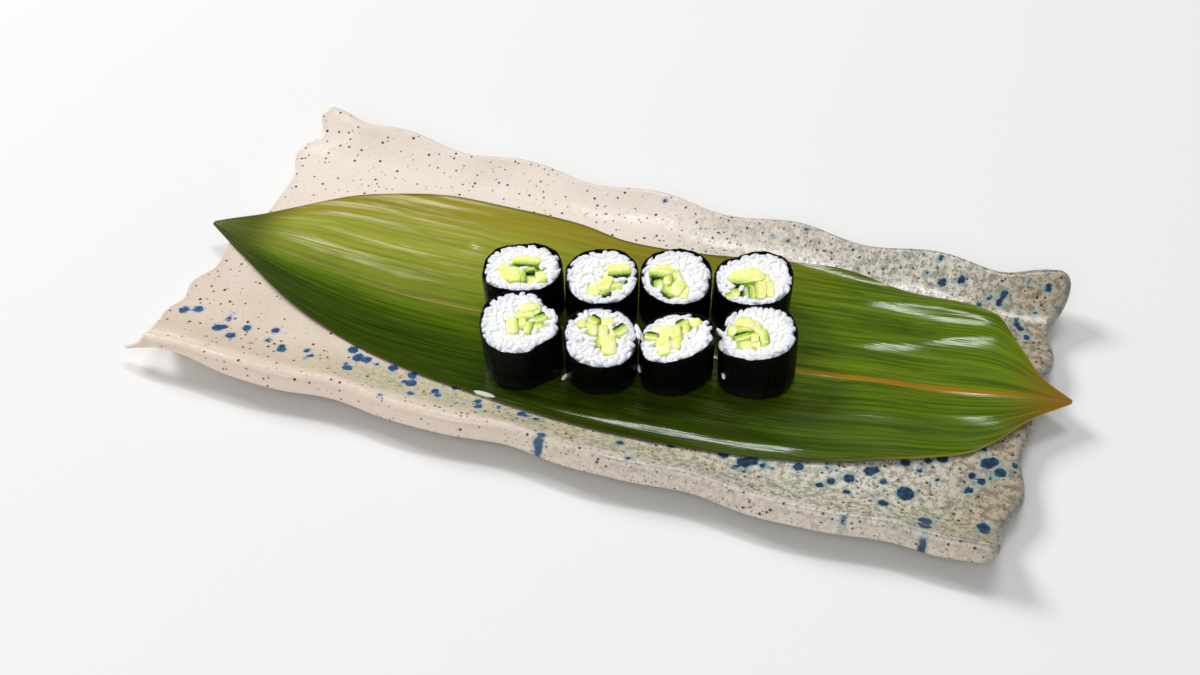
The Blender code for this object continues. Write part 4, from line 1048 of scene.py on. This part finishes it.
def stick_ring(stick, grow, phase):
    """Outline of a stick: a box with rounded corners and slightly bent sides."""
    a, b, half_a, half_b, turn = stick[:5]
    way = np.arange(STICK_AROUND) * 2.0 * math.pi / STICK_AROUND
    c, s = np.cos(way), np.sin(way)
    r = (np.abs(c) ** 5 + np.abs(s) ** 5) ** -0.2 * (1.0 + 0.045 * np.sin(2 * way + phase) + 0.03 * np.sin(3 * way - phase))
    p, q = half_a * r * c * grow, half_b * r * s * grow
    ct, st = math.cos(math.radians(turn)), math.sin(math.radians(turn))
    return a + p * ct - q * st, b + p * st + q * ct


print("sticks:", [len(roll) for roll in STICKS])

# %% Cucumber, its finish
cucumber_flesh, tree, shader = new_finish("fresh_cucumber", IOR=1.38, Subsurface_Weight=0.2, Subsurface_Scale=0.001,
                                           Subsurface_Radius=(1.0, 1.0, 0.6))
from_skin, _, _ = axes_of(tree, put(tree, "ShaderNodeUVMap", 0, uv_map="cut"))
spot = in_millimetres(tree)
wet = noise(tree, spot, 0.5, 3.0)
fibre = noise(tree, stretched(tree, spot, (1.0, 1.0, 0.2)), 1.8, 4.0, 0.6)
inner = blend(tree, span(tree, wet, 0.3, 0.7), (0.90, 0.96, 0.22), (1.0, 1.0, 0.52))
outer = blend(tree, fibre, (0.28, 0.50, 0.020), (0.56, 0.72, 0.06))
deep = calc(tree, "ADD", from_skin, span(tree, fibre, 0.3, 0.7, -0.25, 0.25))
colour = blend(tree, span(tree, deep, 1.4, 3.9), outer, inner)
colour = blend(tree, span(tree, deep, 1.75, 0.80), colour, (0.045, 0.17, 0.006))
colour = blend(tree, span(tree, deep, 1.00, 0.45), colour, (0.005, 0.028, 0.0015))
colour = blend(tree, span(tree, fibre, 0.56, 0.75, 0.0, 0.30), colour, (0.96, 0.97, 0.66))
gloss = span(tree, wet, 0.3, 0.7, 0.16, 0.34)
relief = bump(tree, fibre, 0.16, 0.3)
feed(tree, shader, Base_Color=colour, Roughness=gloss, Normal=relief)

# %% Cucumber, its pieces
for index, roll in enumerate(STICKS):
    draw = np.random.default_rng(700 + index)
    points, faces, uv = [], [], []
    start = 0
    c, d = bundle_outline(index, STICK_AROUND)
    # A plug under the sticks closes the gaps; coloured as if just under the skin, it shows dark green in them: painted
    # shade.
    shaded_gap_plug = [stand(index, 0.9 * c, 0.9 * d, np.full(STICK_AROUND, VISIBLE_FOOT + 0.1)),
             stand(index, 0.9 * c, 0.9 * d, cut_height(index, 0.9 * c, 0.9 * d) - 2.6)]
    stacks = [(shaded_gap_plug, (c.mean(), d.mean()), cut_height(index, c.mean(), d.mean()) - 2.6, [np.full(STICK_AROUND, 1.0)] * 2, 1.0)]
    for stick in roll:
        level, side, under_skin = stick[5:]
        level = 0.7 * level - 0.05
        lean_a, lean_b, phase = draw.uniform(-0.05, 0.05), draw.uniform(-0.05, 0.05), draw.uniform(0.0, 6.0)
        way = np.array([math.cos(math.radians(side)), math.sin(math.radians(side))])
        loops, depths = [], []
        rim = np.stack(stick_ring(stick, 1.0, phase), -1) @ way
        for grow, drop in ((0.97, None), (1.02, -2.2), (1.0, -0.16), (0.985, -0.04), (0.955, 0.0), (0.5, 0.02)):
            p, q = stick_ring(stick, grow, phase)
            h = np.full(STICK_AROUND, VISIBLE_FOOT)
            if drop is not None:
                h = cut_height(index, p, q) + level + (p - stick[0]) * lean_a + (q - stick[1]) * lean_b + drop
            loops.append(stand(index, p, q, h))
            depths.append(rim.max() - np.stack([p, q], -1) @ way + under_skin)
        middle_depth = rim.max() - np.array(stick[:2]) @ way + under_skin
        stacks.append((loops, stick[:2], cut_height(index, *stick[:2]) + level + 0.03, depths, middle_depth))
    for loops, middle, crown, depths, middle_depth in stacks:
        foot_mid = stand(index, *map(np.float64, middle), np.float64(VISIBLE_FOOT))
        crown_mid = stand(index, *map(np.float64, middle), np.float64(crown))
        points.append(np.concatenate(loops + [foot_mid[None], crown_mid[None]]))
        uv.append(np.stack([np.concatenate(depths + [np.full(2, middle_depth)]), np.zeros(len(points[-1]))], -1))
        faces += [tuple(f) for f in grid_faces(len(loops), STICK_AROUND, start, wrap=True)]
        last = start + (len(loops) - 1) * STICK_AROUND
        foot_at, crown_at = last + STICK_AROUND, last + STICK_AROUND + 1
        for m in range(STICK_AROUND):
            n = (m + 1) % STICK_AROUND
            faces += [(start + n, start + m, foot_at), (last + m, last + n, crown_at)]
        start += len(points[-1])
    piece = make_piece(f"cucumber_sticks_{index + 1}", np.concatenate(points), faces,
                       uv=np.concatenate(uv), weld=0.0, sharp=40.0)
    dress(piece, cucumber_flesh, [f"cucumber_{index + 1}"])

# %% [markdown]
# A patch is laid in each roll's own directions with its height measured from the cut, so that
# pressing the grains flat is one line. One layer is scattered, just under the knife's cut. A
# grain that would stand inside a stick of cucumber is left out, which lets rice creep between
# the sticks as it does in a real roll. A few loose grains that stuck elsewhere are laid one by
# one from a list.

# %% Scattering and pressing the grains
LOOSE = (   # roll, place along and across its row, height over its cut, turn
    (5, 13.2, 4.4, -0.5, 75), (5, 13.4, 2.6, -1.2, 60), (6, -12.9, 5.2, -0.9, 80), (7, -12.7, 1.4, -0.7, 95),
    (7, -12.9, -4.6, -0.8, 60), (4, 11.9, 3.6, -0.6, 70), (6, -12.7, 3.0, -1.6, 100),
)
STRAY = ((-5.1, -35.1, 11.2, 40), (19.8, -26.4, 15.5, 80), (49.3, -22.0, 18.2, 70))   # place, height, turn


def face_patch(index, count, inset, depth):
    """A flat disc inside the nori, in the roll's own directions."""
    angle = np.arange(count) * 360.0 / count
    r = rim_radius(index, angle) - inset
    a, b = r * np.cos(np.radians(angle)), r * np.sin(np.radians(angle))
    rings = [np.stack([a * t, b * t, np.full(count, depth)], -1) for t in (1.0, 0.66, 0.33, 0.02)]
    return np.concatenate(rings), grid_faces(len(rings), count, wrap=True)


def press(index, spots):
    """Presses grains back under the cut and inside the nori, then stands them in the roll."""
    a, b, h = spots.T
    h = np.where(h > -0.2, 0.19 * np.tanh((h + 0.2) / 0.45) - 0.2, h)
    away = np.hypot(a, b)
    limit = rim_radius(index, np.degrees(np.arctan2(b, a))) - 0.62
    squeeze = np.where(away > limit, (limit + 0.3 * np.tanh((away - limit) / 1.5)) / np.maximum(away, 1e-6), 1.0)
    h = h - 0.40 * smooth((away - limit + 1.3) / 1.5)
    a, b = a * squeeze, b * squeeze
    return stand(index, a, b, cut_height(index, a, b) + h), smooth((away - limit + 4.2) / 4.0)


def inside_stick(index, a, b):
    """True where a place lies well inside one of the roll's sticks."""
    hit = np.zeros(a.shape, bool)
    for at_a, at_b, half_a, half_b, turn in (stick[:5] for stick in STICKS[index]):
        c, s = math.cos(math.radians(turn)), math.sin(math.radians(turn))
        p, q = (a - at_a) * c + (b - at_b) * s, (b - at_b) * c - (a - at_a) * s
        hit |= (np.abs(p) < half_a + 0.35) & (np.abs(q) < half_b + 0.35)
    return hit


grain_spots, grain_faces, grain_tint_and_shade = [], [], []
start = 0
for index in range(len(ROLLS)):
    for depth, distance, seed in ((-0.66, 1.26, 3 + index),):
        patch_points, patch_faces = face_patch(index, 72, 1.0, depth)
        spots, quads, tone_and_shade = run_tree(grain_scatter, patch_points, patch_faces, {
            "Least Distance": distance * MM, "Grain Length": 4.6 * MM, "Grain Width": 2.3 * MM,
            "Bend": 0.10, "Tilt": 0.22, "Seed": seed, "Finish": rice_white})
        each = GRAIN_POINTS
        whole = spots.reshape(-1, each, 3)
        keep = ~inside_stick(index, whole[:, :, 0].mean(1), whole[:, :, 1].mean(1))
        per = len(quads) // len(whole)
        grain = np.array([q + (q[-1],) * (4 - len(q)) for q in quads[:per]])
        for block, shade in zip(whole[keep], tone_and_shade.reshape(-1, each)[keep]):
            stood, rimward = press(index, block)
            grain_spots.append(stood)
            # Per grain: a little random tint, and painted bluish shade that grows towards the nori.
            grain_tint_and_shade.append(0.08 * shade + 0.80 * rimward ** 1.5)
            grain_faces += [tuple(dict.fromkeys((f + start).tolist())) for f in grain]
            start += each
grain_0 = whole[0] - whole[0].mean(0)
for laid in LOOSE + STRAY:
    c, s = math.cos(math.radians(laid[-1])), math.sin(math.radians(laid[-1]))
    p, q = grain_0[:, 0] * c - grain_0[:, 1] * s, grain_0[:, 0] * s + grain_0[:, 1] * c
    if len(laid) == 5:
        index, a, b, h, _ = laid
        grain_spots.append(stand(index, a + p, b + q, cut_height(index, a, b) + h + grain_0[:, 2]))
    else:
        x, y, h, _ = laid
        grain_spots.append(np.stack([x + 0.8 * p, y + 0.8 * q - MIDDLE, h + 0.8 * grain_0[:, 2]], -1))
    grain_tint_and_shade.append(np.full(each, 0.25))
    grain_faces += [tuple(dict.fromkeys((f + start).tolist())) for f in grain]
    start += each
grains = make_piece("rice_grains", np.concatenate(grain_spots), grain_faces,
                    {"tone_and_shade": np.concatenate(grain_tint_and_shade)}, weld=0.0, sharp=180.0)
dress(grains, rice_white, [])
grains.data.calc_loop_triangles()
print("rice grains:", start // each, "with", len(grains.data.loop_triangles), "triangles")

# %% [markdown]
# ## Light, floor and camera
# Food is lit softly so that rice keeps its form without burning out. A large light stands to
# the left and behind, a broad weak one fills from the front, and a pale floor takes the shadow.
# The camera looks down on the dish from its front right corner.

# %% Floor
floor_mesh = bpy.data.meshes.new("floor")
floor_mesh.from_pydata([(-6, -6, 0), (6, -6, 0), (6, 6, 0), (-6, 6, 0)], [], [(0, 1, 2, 3)])
floor = bpy.data.objects.new("floor", floor_mesh)
bpy.context.scene.collection.objects.link(floor)
paper, tree, shader = new_finish("pale_floor", Roughness=0.9)
shader.inputs["Base Color"].default_value = (0.86, 0.86, 0.86, 1.0)
floor_mesh.materials.append(paper)
floor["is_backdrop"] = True


# %% Lights and camera
def look(obj, target):
    way = target - obj.location
    obj.rotation_mode = "QUATERNION"
    obj.rotation_quaternion = way.to_track_quat("-Z", "Y")


from mathutils import Vector

low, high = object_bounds()
centre = Vector((0.5 * (low[0] + high[0]), 0.5 * (low[1] + high[1]), 0.01))
for name, place, size, power in (("key", (-2.1, 0.65, 1.9), (1.0, 1.0), 50.0), ("fill", (0.25, -2.65, 2.6), (2.2, 2.2), 40.0),
                                 ("window", (-0.05, 1.2, 3.2), (1.5, 0.36), 26.0)):
    data = bpy.data.lights.new(name, "AREA")
    data.shape = "RECTANGLE"
    data.size, data.size_y = size
    data.energy = power
    lamp = bpy.data.objects.new(name, data)
    lamp.location = Vector(place)
    look(lamp, centre)
    bpy.context.scene.collection.objects.link(lamp)
world = bpy.data.worlds.new("studio")
world.use_nodes = True
world.node_tree.nodes["Background"].inputs[0].default_value = (1.0, 1.0, 1.0, 1.0)
ray = put(world.node_tree, "ShaderNodeLightPath", 3)
world.node_tree.links.new(span(world.node_tree, ray, 0.0, 1.0, 0.27, 0.07),
                          world.node_tree.nodes["Background"].inputs[1])
bpy.context.scene.world = world

AZIMUTH, ELEVATION, DISTANCE = math.radians(19.85), math.radians(44.0), 0.5985
target = Vector((-0.00417, -0.00221, 0.0))
camera_data = bpy.data.cameras.new("camera")
camera_data.lens, camera_data.sensor_width = 48.0, 36.0
camera = bpy.data.objects.new("camera", camera_data)
camera.location = target + DISTANCE * Vector((math.sin(AZIMUTH) * math.cos(ELEVATION),
                                              -math.cos(AZIMUTH) * math.cos(ELEVATION), math.sin(ELEVATION)))
look(camera, target)
bpy.context.scene.collection.objects.link(camera)
bpy.context.scene.camera = camera
bpy.context.scene.view_settings.view_transform = "Standard"
print("camera:", [round(v, 3) for v in camera.location])
